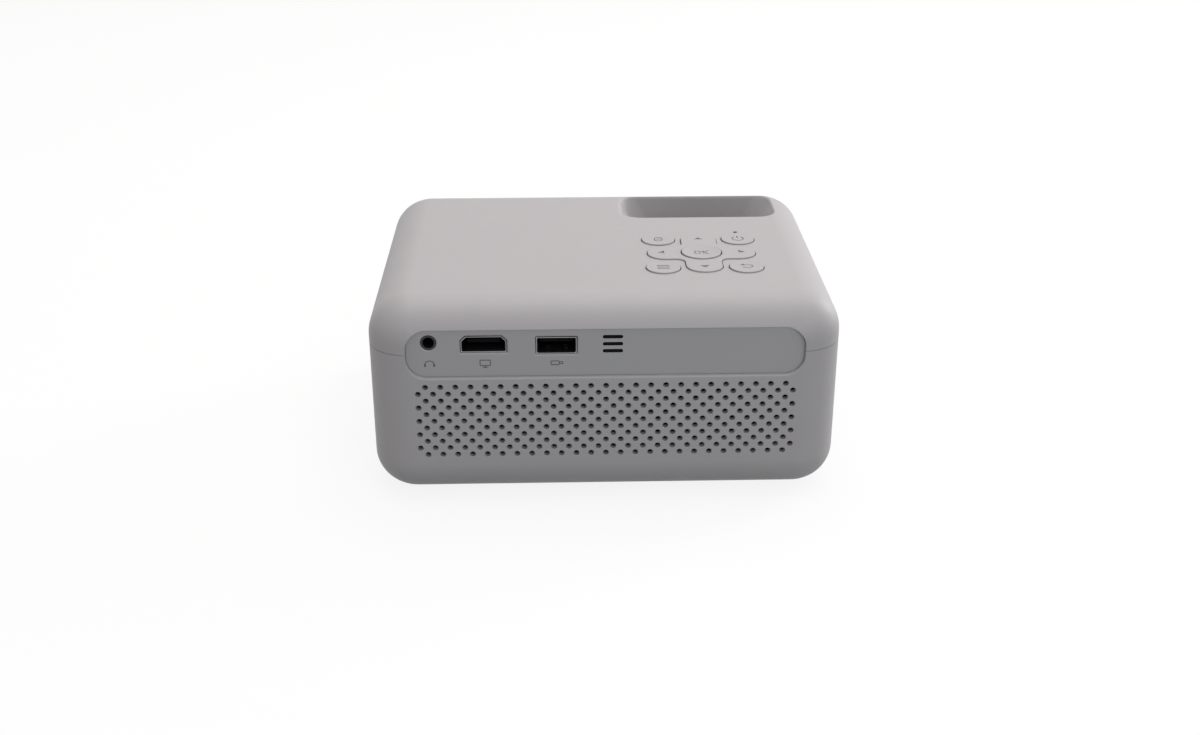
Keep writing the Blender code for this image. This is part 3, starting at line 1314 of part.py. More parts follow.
def fan(black):
    """The fan's square frame with its struts, and the bladed rotor."""
    axis = (ENGINE_Y, LENS_Z)
    half = FAN_SIZE / 2
    frame = cut(
        plate_across(FAN_LEFT, FAN_RIGHT, half, half),
        rod(axis, FAN_BORE, FAN_LEFT - OVERRUN, FAN_RIGHT + OVERRUN, "X", TURN_STEPS),
    )
    reach, strut, strut_right = FAN_BORE + SEAT_GAP, FAN_STRUT / 2, FAN_LEFT + FAN_MOUNT
    join(
        frame,
        plate_across(FAN_LEFT, strut_right, reach, strut),
        plate_across(FAN_LEFT, strut_right, strut, reach),
        rod(axis, FAN_HUB, FAN_LEFT + SEAT_GAP / 2, strut_right + SEAT_GAP / 2, "X", ROUND_STEPS),
    )
    name_piece(frame, "fan_frame", black)
    hub_left = FAN_LEFT + FAN_MOUNT + 2 * SEAT_GAP
    hub_right = hub_left + FAN_HUB_LENGTH
    rotor = rod(axis, FAN_HUB, hub_left, hub_right, "X", ROUND_STEPS)
    for k in range(FAN_BLADES):
        start = 2 * math.pi * k / FAN_BLADES
        join(rotor, fan_blade(axis, start, hub_left + SEAT_GAP, hub_right - SEAT_GAP))
    name_piece(rotor, "fan_rotor", black, ((hub_left + hub_right) / 2, *axis))


def fan_blade(axis, start, left, right):
    """One blade, which leans as it crosses the fan and sweeps a little towards its tip."""
    root, tip = FAN_HUB - SEAT_GAP * 2, FAN_BORE - FAN_TIP_GAP
    rings = []
    for radius, sweep in ((root, 0), ((root + tip) / 2, FAN_BLADE_SWEEP * 0.4), (tip, FAN_BLADE_SWEEP)):
        corners = []
        for level, lean, edge in ((left, -1, 0), (right, 1, 0), (right, 1, 1), (left, -1, 1)):
            turn = start + sweep / 2 + (lean * FAN_BLADE_LEAN / 2 + edge * FAN_BLADE_THICK) / radius
            corners.append(
                Vector((level, axis[0] + radius * math.cos(turn), axis[1] + radius * math.sin(turn)))
            )
        rings.append(corners)
    return loft(rings)


def speaker(dark, paper, steel):
    """The speaker's basket, cone and magnet. The cone faces the grille."""
    axis = (SPEAKER_X, SPEAKER_Z)
    rim_inner = SPEAKER_RADIUS - SPEAKER_RIM
    cone_floor = SPEAKER_FRONT + SPEAKER_RIM + 2 * CONE_TRAVEL + CONE_GAP
    profile = [
        (rim_inner, SPEAKER_FRONT),
        (SPEAKER_RADIUS, SPEAKER_FRONT),
        (SPEAKER_RADIUS, SPEAKER_FRONT + SPEAKER_RIM),
        (rim_inner + SPEAKER_SKIN, cone_floor),
        (SPEAKER_NECK + SPEAKER_SKIN, SPEAKER_BACK),
        (CONE_NECK + 2 * CONE_GAP, SPEAKER_BACK),
        (CONE_NECK + 2 * CONE_GAP, SPEAKER_BACK - SPEAKER_SKIN),
        (SPEAKER_NECK, SPEAKER_BACK - SPEAKER_SKIN),
        (rim_inner, cone_floor),
    ]
    name_piece(turned(profile, axis, "Y"), "speaker_basket", dark)
    cone_rim = SPEAKER_FRONT + SPEAKER_RIM / 2 + CONE_TRAVEL
    outer = rim_inner - CONE_GAP
    profile = [
        (0, cone_rim + CONE_DEPTH - CONE_NECK / 2),
        (CONE_NECK, cone_rim + CONE_DEPTH - CONE_NECK / 4),
        (outer - CONE_NECK / 2, cone_rim),
        (outer, cone_rim),
        (outer, cone_rim + CONE_SKIN),
        (outer - CONE_NECK / 2, cone_rim + CONE_SKIN),
        (CONE_NECK, cone_rim + CONE_DEPTH + CONE_SKIN),
        (0, cone_rim + CONE_DEPTH + CONE_SKIN),
    ]
    name_piece(turned(profile, axis, "Y"), "speaker_cone", paper)
    magnet_face = SPEAKER_BACK + SEAT_GAP
    magnet = rod(axis, MAGNET_RADIUS, magnet_face, magnet_face + MAGNET_LENGTH, "Y", ROUND_STEPS)
    name_piece(magnet, "speaker_magnet", steel)


def dust_screen(cloth):
    """A thin screen behind the vent half of the grille."""
    low_z = GRILLE_TOP - (GRILLE_ROWS - 1) * GRILLE_PITCH / 2 - SCREEN_MARGIN
    high_z = SEAT_BOTTOM - SEAT_GAP
    face = REAR + WALL + SEAT_GAP
    screen = block((SCREEN_LEFT, face, low_z), (SCREEN_RIGHT, face + SCREEN_THICK, high_z))
    name_piece(screen, "dust_screen", cloth)


def power_inlet(black, steel):
    """The power inlet in the right wall, with its middle pin."""
    z = BODY_BOTTOM + INLET_RISE
    face = SIDE - WALL - SEAT_GAP
    back = face - INLET_LENGTH + SEAT_GAP
    body = block(
        (back, INLET_Y - INLET_WIDTH / 2, z - INLET_HEIGHT / 2),
        (face, INLET_Y + INLET_WIDTH / 2, z + INLET_HEIGHT / 2),
    )
    cut(body, rod((INLET_Y, z), INLET_BORE, face - INLET_BORE_DEPTH, face + OVERRUN, "X", ROUND_STEPS))
    name_piece(body, "dc_inlet", black)
    pin = rod((INLET_Y, z), INLET_PIN, face - INLET_BORE_DEPTH + SEAT_GAP, face - SEAT_GAP, "X")
    name_piece(pin, "dc_inlet_pin", steel)


def main():
    """Builds every piece of the projector."""
    clear_scene()
    shell = material("shell_plastic", (0.55, 0.53, 0.53), 0.55)
    panel = material("panel_plastic", (0.52, 0.52, 0.53), 0.5)
    black = material("black_plastic", (0.02, 0.02, 0.022), 0.45)
    dark = material("dark_plastic", (0.06, 0.06, 0.065), 0.6)
    rubber = material("rubber", (0.05, 0.05, 0.05), 0.9)
    silicone = material("silicone", (0.5, 0.5, 0.5), 0.8)
    board = material("circuit_board", (0.02, 0.14, 0.06), 0.5)
    steel = material("plated_steel", (0.6, 0.6, 0.62), 0.3, 1.0)
    brass = material("brass", (0.75, 0.55, 0.25), 0.35, 1.0)
    alloy = material("aluminium", (0.7, 0.71, 0.72), 0.4, 1.0)
    glass = material("lens_glass", (0.75, 0.8, 0.85), 0.05)
    cell = material("lcd_glass", (0.1, 0.11, 0.14), 0.15)
    chrome = material("mirror_coating", (0.9, 0.9, 0.9), 0.05, 1.0)
    phosphor = material("phosphor", (0.9, 0.75, 0.15), 0.6)
    white = material("white_board", (0.85, 0.85, 0.83), 0.5)
    glow = material("light_pipe", (0.12, 0.12, 0.12), 0.3)
    cloth = material("screen_cloth", (0.16, 0.16, 0.17), 0.9)
    paper = material("cone_paper", (0.03, 0.03, 0.03), 0.9)

    upper, lower = shells()
    name_piece(upper, "upper_shell", shell)
    name_piece(lower, "lower_shell", shell)
    feet(rubber)
    fasteners(steel, brass)
    port_panel(panel)
    board_parts(board, black)
    sockets(steel, black)
    round_keys(shell)
    rocker(shell, silicone)
    keypad_electronics(board, glow)
    lens_group(black, dark, glass, steel)
    optics(dark, glass, chrome, cell)
    light_source(alloy, white, phosphor, chrome)
    fan(black)
    speaker(dark, paper, steel)
    dust_screen(cloth)
    power_inlet(black, steel)


main()
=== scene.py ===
"""Looks of a small LED projector: softened shells, engraved keys, sockets, optics, light and camera."""

import logging
import math
from collections.abc import Callable, Iterable
from dataclasses import dataclass
from enum import Enum

import bmesh
import bpy
from mathutils import Matrix, Vector


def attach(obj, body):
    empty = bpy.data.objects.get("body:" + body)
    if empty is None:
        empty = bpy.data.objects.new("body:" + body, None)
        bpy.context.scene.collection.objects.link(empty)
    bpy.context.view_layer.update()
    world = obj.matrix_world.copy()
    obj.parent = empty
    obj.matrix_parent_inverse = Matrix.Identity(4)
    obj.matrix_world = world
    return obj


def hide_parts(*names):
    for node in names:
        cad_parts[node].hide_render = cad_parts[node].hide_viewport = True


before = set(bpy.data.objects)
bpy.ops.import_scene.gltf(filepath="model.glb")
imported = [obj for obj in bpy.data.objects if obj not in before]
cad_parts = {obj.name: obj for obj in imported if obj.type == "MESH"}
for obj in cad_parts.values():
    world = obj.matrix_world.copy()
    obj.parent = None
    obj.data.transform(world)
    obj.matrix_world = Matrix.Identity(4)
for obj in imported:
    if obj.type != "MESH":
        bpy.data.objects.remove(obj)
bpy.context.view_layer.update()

LOG = logging.getLogger("projector")
MM = 0.001
OVERRUN = 1.5 * MM
HAIR = 0.02 * MM
QUARTER = math.pi / 2
CHASSIS = "chassis"

Tree = bpy.types.NodeTree
Node = bpy.types.Node
Socket = bpy.types.NodeSocket
Point = tuple[float, float]
Outline = list[Point]
Ring = list[Vector]


class Axis(Enum):
    """The axis that an outline is pushed along or turned about."""

    X = "X"
    Y = "Y"
    Z = "Z"


class Operation(Enum):
    """What a second solid does to the first one."""

    CUT = "DIFFERENCE"
    JOIN = "UNION"


# Finishes


def linear(code: str) -> tuple[float, float, float, float]:
    """Turns an sRGB colour into the linear one that the shader takes.

    Args:
        code: Six hexadecimal digits after a hash sign.

    Returns:
        Linear red, green, blue and an alpha of 1.
    """
    parts = [int(code[k : k + 2], 16) / 255 for k in (1, 3, 5)]
    red, green, blue = [p / 12.92 if p <= 0.04045 else ((p + 0.055) / 1.055) ** 2.4 for p in parts]
    return red, green, blue, 1.0


def add_node(tree: Tree, kind: str, settings: dict, links: dict) -> Node:
    """Adds a node to a material.

    Args:
        tree: The material's node tree.
        kind: Blender's name for the node's type.
        settings: Values by input name or input number, or by attribute name.
        links: Output sockets by the input name or number that they feed.

    Returns:
        The new node.
    """
    node = tree.nodes.new(kind)
    for key, value in settings.items():
        if isinstance(key, str) and hasattr(node, key):
            setattr(node, key, value)
        else:
            node.inputs[key].default_value = value
    for key, socket in links.items():
        tree.links.new(socket, node.inputs[key])
    return node


@dataclass(frozen=True)
class Finish:
    """A surface with an even base and a fine relief. Other finishes add to it.

    Attributes:
        name: The material's name.
        colour: Base colour in sRGB.
        roughness: How matte the surface is.
        grain_mm: Size of the relief's grain.
        relief_mm: Height of the relief.
        tint: How far the colour wanders, as a share.
        metal: 1 for bare metal, 0 for the rest.
        ior: Index of refraction. A metal keeps the shader's own.
    """

    name: str
    colour: str
    roughness: float
    grain_mm: float = 0.6
    relief_mm: float = 0.004
    tint: float = 0.03
    metal: float = 0.0
    ior: float = 1.5

    def material(self) -> bpy.types.Material:
        """Returns the finish's material, which is made once."""
        made = bpy.data.materials.get(self.name)
        if made is None:
            made = bpy.data.materials.new(self.name)
            made.use_nodes = True
            self.build(made.node_tree)
        return made

    def build(self, tree: Tree) -> None:
        """Sets the shader up, with colour drift, uneven gloss and fine grain."""
        shader = tree.nodes["Principled BSDF"]
        shader.inputs["Metallic"].default_value = self.metal
        if not self.metal:
            shader.inputs["IOR"].default_value = self.ior
        place = add_node(tree, "ShaderNodeTexCoord", {}, {}).outputs["Object"]
        self.colour_drift(tree, shader, place)
        self.gloss_drift(tree, shader, place)
        self.grain(tree, shader, place)
        self.extras(tree, shader, place)

    def colour_drift(self, tree: Tree, shader: Node, place: Socket) -> None:
        """Lets the colour wander over centimetres, as pigment does in a moulded or plated piece."""
        base = linear(self.colour)
        drift = add_node(
            tree, "ShaderNodeTexNoise", {"Scale": 1 / (18 * MM), "Detail": 2.0}, {"Vector": place}
        )
        low = tuple(c * (1 - self.tint) for c in base[:3]) + (1.0,)
        high = tuple(min(1.0, c * (1 + self.tint)) for c in base[:3]) + (1.0,)
        mix = add_node(
            tree,
            "ShaderNodeMix",
            {"data_type": "RGBA", 6: low, 7: high},
            {0: drift.outputs["Fac"]},
        )
        tree.links.new(mix.outputs[2], shader.inputs["Base Color"])

    def gloss_drift(self, tree: Tree, shader: Node, place: Socket) -> None:
        """Varies the roughness a little, as handling and mould wear do."""
        cloud = add_node(
            tree, "ShaderNodeTexNoise", {"Scale": 1 / (6 * MM), "Detail": 3.0}, {"Vector": place}
        )
        spread = 0.12 * self.roughness
        ramp = add_node(
            tree,
            "ShaderNodeMapRange",
            {3: self.roughness - spread, 4: self.roughness + spread},
            {0: cloud.outputs["Fac"]},
        )
        tree.links.new(ramp.outputs[0], shader.inputs["Roughness"])

    def grain(self, tree: Tree, shader: Node, place: Socket) -> None:
        """Adds the fine relief of the surface."""
        grain = add_node(
            tree,
            "ShaderNodeTexNoise",
            {"Scale": 1 / (self.grain_mm * MM), "Detail": 2.0, "Roughness": 0.6},
            {"Vector": place},
        )
        self.emboss(tree, shader, grain.outputs["Fac"])

    def emboss(self, tree: Tree, shader: Node, height: Socket) -> None:
        """Turns a height into the surface's relief."""
        bump = add_node(
            tree,
            "ShaderNodeBump",
            {"Distance": self.relief_mm * MM, "Strength": 1.0},
            {"Height": height},
        )
        tree.links.new(bump.outputs["Normal"], shader.inputs["Normal"])

    def tiles(
        self, tree: Tree, shader: Node, place: Socket, joint: str, pitch_mm: float, shape: dict
    ) -> None:
        """Colours the surface as cells with lines between them.

        Args:
            tree: The material's node tree.
            shader: Its shader.
            place: Coordinates of the surface.
            joint: Colour of the lines in sRGB.
            pitch_mm: Spacing of the cells. A cell of width 1 takes two of it.
            shape: Further settings of the brick texture.
        """
        face = linear(self.colour)
        colours = {"Color1": face, "Color2": face, "Mortar": linear(joint)}
        settings = {**colours, "Scale": 1 / (pitch_mm * MM) / 2, **shape}
        bricks = add_node(tree, "ShaderNodeTexBrick", settings, {"Vector": place})
        tree.links.new(bricks.outputs["Color"], shader.inputs["Base Color"])

    def extras(self, tree: Tree, shader: Node, place: Socket) -> None:
        """What a finish adds to the plain surface. The plain one adds nothing."""


@dataclass(frozen=True)
class OpticalGlass(Finish):
    """Polished glass with a thin blooming, which gives a faint coloured reflection."""

    def extras(self, tree: Tree, shader: Node, place: Socket) -> None:
        """Lets light through and puts the blooming on as a coat."""
        shader.inputs["Transmission Weight"].default_value = 1.0
        shader.inputs["Coat Weight"].default_value = 0.6
        shader.inputs["Coat Roughness"].default_value = 0.02
        shader.inputs["Coat Tint"].default_value = linear("#9fb4ff")


@dataclass(frozen=True)
class ClearPlastic(Finish):
    """Smoked clear plastic.

    Attributes:
        clear: Share of the light that passes.
    """

    clear: float = 0.15

    def extras(self, tree: Tree, shader: Node, place: Socket) -> None:
        """Lets some of the light through."""
        shader.inputs["Transmission Weight"].default_value = self.clear


@dataclass(frozen=True)
class SoftRubber(Finish):
    """Rubber or silicone, with a dull bloom that shows towards its edges."""

    def extras(self, tree: Tree, shader: Node, place: Socket) -> None:
        """Adds the bloom as a little sheen."""
        shader.inputs["Sheen Weight"].default_value = 0.25
        shader.inputs["Sheen Roughness"].default_value = 0.5


def wave_scale(spacing_mm: float) -> float:
    """Returns the wave texture's scale for bands at this spacing. One band takes 2 pi / 20 of a unit."""
    return math.tau / 20 / (spacing_mm * MM)


@dataclass(frozen=True)
class TurnedMetal(Finish):
    """Metal with the fine rings or lines that a tool or a die leaves.

    Attributes:
        line_mm: Spacing of the lines.
        along: The axis that the lines are spaced along.
    """

    line_mm: float = 0.25
    along: Axis = Axis.Z

    def grain(self, tree: Tree, shader: Node, place: Socket) -> None:
        """Replaces the even grain with fine lines."""
        wave = add_node(
            tree,
            "ShaderNodeTexWave",
            {
                "bands_direction": self.along.value,
                "Scale": wave_scale(self.line_mm),
                "Distortion": 1.5,
                "Detail": 2.0,
            },
            {"Vector": place},
        )
        self.emboss(tree, shader, wave.outputs["Fac"])


@dataclass(frozen=True)
class BoardLaminate(Finish):
    """Glass-fibre laminate under solder mask, with copper tracks that show through.

    Attributes:
        track: Colour of the mask over copper.
        cell_mm: Spacing of the tracks.
    """

    track: str = "#1f6b3a"
    cell_mm: float = 3.0

    def colour_drift(self, tree: Tree, shader: Node, place: Socket) -> None:
        """Draws tracks as thin lines between rectangular cells."""
        shape = {"Mortar Size": 0.06, "Brick Width": 1.4}
        self.tiles(tree, shader, place, self.track, self.cell_mm, shape)


@dataclass(frozen=True)
class WovenScreen(Finish):
    """Fine woven monofilament.

    Attributes:
        thread_mm: Thread spacing.
    """

    thread_mm: float = 0.8

    def grain(self, tree: Tree, shader: Node, place: Socket) -> None:
        """Crosses two sets of threads into a weave."""
        sets = [
            add_node(
                tree,
                "ShaderNodeTexWave",
                {"bands_direction": axis.value, "Scale": wave_scale(self.thread_mm)},
                {"Vector": place},
            )
            for axis in (Axis.X, Axis.Z)
        ]
        weave = add_node(
            tree,
            "ShaderNodeMath",
            {"operation": "MAXIMUM"},
            {0: sets[0].outputs["Fac"], 1: sets[1].outputs["Fac"]},
        )
        self.emboss(tree, shader, weave.outputs[0])


@dataclass(frozen=True)
class CeramicPhosphor(Finish):
    """Phosphor in clear resin over small dies, which show as a faint grid.

    Attributes:
        joint: Colour between the dies.
        die_mm: Spacing of the dies.
    """

    joint: str = "#c9a227"
    die_mm: float = 2.0

    def colour_drift(self, tree: Tree, shader: Node, place: Socket) -> None:
        """Darkens the lines between the dies."""
        shape = {"Mortar Size": 0.04, "Brick Width": 0.5, "Row Height": 0.5, "offset": 0.0}
        self.tiles(tree, shader, place, self.joint, self.die_mm, shape)


# Moulded ABS from a spark-eroded tool: an even, matte, warm light grey with a grain too fine to count.
# The real grain is near 0.1 mm. It is drawn at 0.5 mm, so that it still breaks up the highlights.
SHELL_ABS = Finish("moulded_grey_abs", "#aeabac", 0.52, 0.5, 0.003, 0.012, ior=1.52)
# The same ABS from a smoother tool insert: slightly cooler and a little more glossy than the shells.
PANEL_ABS = Finish("smooth_grey_abs", "#a9a8aa", 0.46, 0.4, 0.002, 0.01, ior=1.52)
# Pad-printed ink: flat dark grey, dull.
PRINT_INK = Finish("printed_ink", "#5a595b", 0.7, 0.4, 0.001, 0.02)
# Glass-filled nylon, moulded black: satin, with a faint skin of fibres.
BLACK_NYLON = Finish("black_nylon", "#161618", 0.42, 0.5, 0.004, 0.06)
# Black polycarbonate with a spark finish: dull, so that it throws no stray light.
BAFFLE_BLACK = Finish("baffle_black", "#1d1d1f", 0.72, 0.3, 0.006, 0.05)
# Black glass-filled polyester of the sockets' tongues: its rough skin gives back next to no shine. Its
# near-black colour is partly painted shade: it also lines the sockets' shells and backs the top slots, where
# it stands for the shade inside them.
SOCKET_BLACK_AND_SHADE = Finish("socket_black_and_painted_shade", "#09090a", 0.8, 0.3, 0.006, 0.05, ior=1.2)
# Black rubber, compression moulded: dull with a pale bloom.
FOOT_RUBBER = SoftRubber("foot_rubber", "#242426", 0.86, 0.5, 0.01, 0.06)
# Translucent grey silicone.
SILICONE = SoftRubber("grey_silicone", "#a3a3a5", 0.7, 0.8, 0.004, 0.03)
# Cold-rolled steel with bright nickel plating: pale, with soft die lines.
NICKEL_STEEL = TurnedMetal("nickel_steel", "#c6c7ca", 0.3, 0.4, 0.001, 0.03, 1.0, line_mm=0.3)
# Gold flash over nickel on the contacts.
GOLD_CONTACT = Finish("gold_contact", "#d9b45b", 0.25, 0.3, 0.001, 0.03, 1.0)
# Turned brass, left bare: yellow with fine tool rings.
TURNED_BRASS = TurnedMetal("turned_brass", "#c9a45a", 0.34, 0.4, 0.002, 0.05, 1.0, line_mm=0.25)
# Extruded aluminium, clear anodised: pale grey with long die lines.
ANODISED_ALUMINIUM = TurnedMetal(
    "anodised_aluminium", "#c6c8ca", 0.38, 0.4, 0.002, 0.03, 1.0, line_mm=0.4, along=Axis.Y
)
# Optical crown glass, polished and bloomed.
LENS_GLASS = OpticalGlass("bloomed_glass", "#f4f7ff", 0.03, 2.0, 0.0, 0.0, ior=1.52)
# The dark glass of the picture cell.
CELL_GLASS = Finish("cell_glass", "#1c2027", 0.08, 2.0, 0.0, 0.1, ior=1.52)
# Front-silvered glass.
SILVERED = Finish("silvered_face", "#e8eaec", 0.05, 2.0, 0.0, 0.01, 1.0)
# Yellow phosphor over blue dies.
PHOSPHOR = CeramicPhosphor("lamp_phosphor", "#e6c84a", 0.55, 0.3, 0.01, 0.03)
# White solder mask on an aluminium core.
WHITE_MASK = BoardLaminate(
    "white_mask", "#e4e3de", 0.4, 0.6, 0.002, 0.02, track="#cfcec8", cell_mm=4.0
)
# Green solder mask on glass-fibre laminate.
GREEN_MASK = BoardLaminate("green_mask", "#124a28", 0.36, 0.5, 0.004, 0.04)
# Smoked acrylic light pipe, unlit: nearly black from outside, with a polished end.
LIGHT_PIPE = ClearPlastic("smoked_acrylic", "#08080a", 0.5, 2.0, 0.0, 0.02, ior=1.3)
# Black polyester mesh against dust. The real thread is near 0.2 mm. It is drawn at 0.8 mm to show.
DUST_MESH = WovenScreen("dust_mesh", "#2a2a2c", 0.85, 0.4, 0.12, 0.08)
# Pressed paper pulp, doped black.
PULP_CONE = Finish("doped_pulp", "#1f1e1d", 0.82, 0.5, 0.03, 0.12)


# Outlines and solids


def lay(outline: Outline, level: float, axis: Axis) -> Ring:
    """Puts a flat outline at a level on an axis.

    Args:
        outline: Points (y, z) on X, (x, z) on Y or (x, y) on Z.
        level: Place along the axis.
        axis: The axis across the outline.

    Returns:
        The points in space.
    """
    if axis is Axis.X:
        return [Vector((level, u, v)) for u, v in outline]
    if axis is Axis.Y:
        return [Vector((u, level, v)) for u, v in outline]
    return [Vector((u, v, level)) for u, v in outline]


def solid(points: Iterable[Vector], faces: Iterable[Iterable[int]]) -> bpy.types.Object:
    """Makes a closed object with every face pointing out.

    Args:
        points: The corners.
        faces: Corner numbers of each face.

    Returns:
        The new object.
    """
    mesh = bpy.data.meshes.new("solid")
    mesh.from_pydata([tuple(p) for p in points], [], [list(f) for f in faces])
    work = bmesh.new()
    work.from_mesh(mesh)
    bmesh.ops.recalc_face_normals(work, faces=work.faces)
    work.to_mesh(mesh)
    work.free()
    made = bpy.data.objects.new("solid", mesh)
    bpy.context.scene.collection.objects.link(made)
    return made


def loft(rings: list[Ring], closed: bool = False) -> bpy.types.Object:
    """Makes a solid through rings of equally many points.

    Args:
        rings: The rings in order.
        closed: True joins the last ring to the first, and False caps both ends.

    Returns:
        The new object.
    """
    count, rows = len(rings[0]), len(rings)
    points = [p for ring in rings for p in ring]
    faces = [
        [
            row * count + k,
            row * count + (k + 1) % count,
            (row + 1) % rows * count + (k + 1) % count,
            (row + 1) % rows * count + k,
        ]
        for row in range(rows if closed else rows - 1)
        for k in range(count)
    ]
    if not closed:
        faces.append(list(range(count))[::-1])
        faces.append(list(range((rows - 1) * count, rows * count)))
    return solid(points, faces)


def prism(outline: Outline, start: float, end: float, axis: Axis = Axis.Z) -> bpy.types.Object:
    """Makes a straight solid with this outline, from start to end along an axis."""
    return loft([lay(outline, start, axis), lay(outline, end, axis)])


def block(low: Iterable[float], high: Iterable[float]) -> bpy.types.Object:
    """Makes a box from its lowest to its highest corner."""
    (x0, y0, z0), (x1, y1, z1) = low, high
    return prism([(x0, y0), (x1, y0), (x1, y1), (x0, y1)], z0, z1)


def arc(centre: Point, radius: float, start: float, end: float, steps: int) -> Outline:
    """Returns points along an arc from one angle to another."""
    angles = [start + (end - start) * k / steps for k in range(steps + 1)]
    return [(centre[0] + radius * math.cos(a), centre[1] + radius * math.sin(a)) for a in angles]


def circle(centre: Point, radius: float, sides: int) -> Outline:
    """Returns the outline of a round piece."""
    return arc(centre, radius, 0, 2 * math.pi * (1 - 1 / sides), sides - 1)


def rounded_rectangle(
    centre: Point, half_u: float, half_v: float, radius: float, steps: int
) -> Outline:
    """Returns a rectangle's outline with round corners."""
    points: Outline = []
    for k, (su, sv) in enumerate(((1, 1), (-1, 1), (-1, -1), (1, -1))):
        middle = (centre[0] + su * (half_u - radius), centre[1] + sv * (half_v - radius))
        points += arc(middle, radius, k * QUARTER, (k + 1) * QUARTER, steps)
    return points


def bar(start: Point, end: Point, width: float) -> Outline:
    """Returns a straight stroke between two points."""
    run = Vector((end[0] - start[0], end[1] - start[1])).normalized() * width / 2
    side = (-run.y, run.x)
    return [
        (start[0] + side[0], start[1] + side[1]),
        (start[0] - side[0], start[1] - side[1]),
        (end[0] - side[0], end[1] - side[1]),
        (end[0] + side[0], end[1] + side[1]),
    ]


def band(centre: Point, radius: float, width: float, start: float, end: float) -> Outline:
    """Returns a curved stroke about a centre, from one angle to another."""
    outer = arc(centre, radius + width / 2, start, end, 24)
    return outer + arc(centre, radius - width / 2, end, start, 24)


def triangle(tip: Point, direction: float, length: float, half: float) -> Outline:
    """Returns an arrow head that points in a direction, given as an angle."""
    back = (tip[0] - length * math.cos(direction), tip[1] - length * math.sin(direction))
    across = (-half * math.sin(direction), half * math.cos(direction))
    return [tip, (back[0] + across[0], back[1] + across[1]), (back[0] - across[0], back[1] - across[1])]


def turned(
    profile: Outline, centre: Point, axis: Axis, steps: int = 72
) -> bpy.types.Object:
    """Makes a solid of revolution about a line through centre.

    Args:
        profile: (radius, level) pairs. One that starts and ends at radius 0 makes a full body.
        centre: Where the line crosses the plane across the axis.
        axis: The direction of the line.
        steps: Number of sides.

    Returns:
        The new object.
    """
    full = profile[0][0] == 0
    inner = profile[1:-1] if full else profile
    points = [p for radius, level in inner for p in lay(circle(centre, radius, steps), level, axis)]
    rows = len(inner)
    faces = [
        [
            row * steps + k,
            row * steps + (k + 1) % steps,
            (row + 1) % rows * steps + (k + 1) % steps,
            (row + 1) % rows * steps + k,
        ]
        for row in range(rows - 1 if full else rows)
        for k in range(steps)
    ]
    if full:
        for row, level in ((0, profile[0][1]), (rows - 1, profile[-1][1])):
            points += lay([centre], level, axis)
            pole = len(points) - 1
            faces += [[row * steps + k, row * steps + (k + 1) % steps, pole] for k in range(steps)]
    return solid(points, faces)


def soft_corner(
    start: Point, corner: Point, end: Point, radius: float, steps: int = 5
) -> Outline:
    """Rounds one corner of a profile.

    Args:
        start: The profile's point before the corner.
        corner: The sharp corner.
        end: The profile's point after the corner.
        radius: How far the rounding reaches along both edges.
        steps: Number of steps in the rounding.

    Returns:
        The points that take the corner's place.
    """
    here = Vector(corner)
    before = here + (Vector(start) - here).normalized() * radius
    after = here + (Vector(end) - here).normalized() * radius
    points: Outline = []
    for k in range(steps + 1):
        t = k / steps
        spot = before * (1 - t) ** 2 + here * 2 * t * (1 - t) + after * t**2
        points.append((spot.x, spot.y))
    return points


def softened(profile: Outline, radii: dict[int, float], steps: int = 5) -> Outline:
    """Returns a profile with some of its corners rounded, each by its own radius."""
    count = len(profile)
    points: Outline = []
    for k, corner in enumerate(profile):
        if k in radii:
            start, end = profile[k - 1], profile[(k + 1) % count]
            points += soft_corner(start, corner, end, radii[k], steps)
        else:
            points.append(corner)
    return points


def combine(
    target: bpy.types.Object, tools: Iterable[bpy.types.Object], operation: Operation
) -> bpy.types.Object:
    """Cuts or joins a solid with others, which are used up.

    Args:
        target: The solid that is changed.
        tools: The solids that change it.
        operation: What they do.

    Returns:
        The changed solid.
    """
    for tool in tools:
        modifier = target.modifiers.new("step", "BOOLEAN")
        modifier.operation = operation.value
        modifier.object = tool
        graph = bpy.context.evaluated_depsgraph_get()
        made = bpy.data.meshes.new_from_object(target.evaluated_get(graph))
        target.modifiers.clear()
        target.data = made
        bpy.data.objects.remove(tool)
    return target


def cut(target: bpy.types.Object, *tools: bpy.types.Object) -> bpy.types.Object:
    """Takes the tools out of the target."""
    return combine(target, tools, Operation.CUT)


def join(target: bpy.types.Object, *tools: bpy.types.Object) -> bpy.types.Object:
    """Makes one solid of the target and the tools, which overlap it."""
    return combine(target, tools, Operation.JOIN)


def gather(solids: Iterable[bpy.types.Object]) -> bpy.types.Object:
    """Puts several separate solids in one object."""
    work = bmesh.new()
    for made in solids:
        work.from_mesh(made.data)
        bpy.data.objects.remove(made)
    mesh = bpy.data.meshes.new("group")
    work.to_mesh(mesh)
    work.free()
    made = bpy.data.objects.new("group", mesh)
    bpy.context.scene.collection.objects.link(made)
    return made


def soft_opening(
    shape: Callable[[float], Outline],
    surface: float,
    depth: float,
    rim: float,
    axis: Axis,
    out: int,
    foot: Outline | None = None,
) -> bpy.types.Object:
    """Makes a cutter whose mouth flares, so that it leaves a rounded rim.

    Args:
        shape: Gives the opening's outline, grown by an even margin.
        surface: Level of the face that it opens through.
        depth: How deep it goes below that face.
        rim: Radius of the rounded rim.
        axis: Axis that it runs along.
        out: 1 where outside lies up the axis, -1 where it lies down.
        foot: The outline at its end, where that differs.

    Returns:
        The cutter.
    """
    steps = 5
    mouth = surface - out * HAIR
    rings = [lay(foot or shape(0.0), surface - out * depth, axis)]
    for k in range(steps + 1):
        angle = QUARTER * k / steps
        grow = rim * (1 - math.cos(angle))
        rings.append(lay(shape(grow), mouth - out * rim * (1 - math.sin(angle)), axis))
    rings.append(lay(shape(rim), surface + out * OVERRUN, axis))
    return loft(rings)


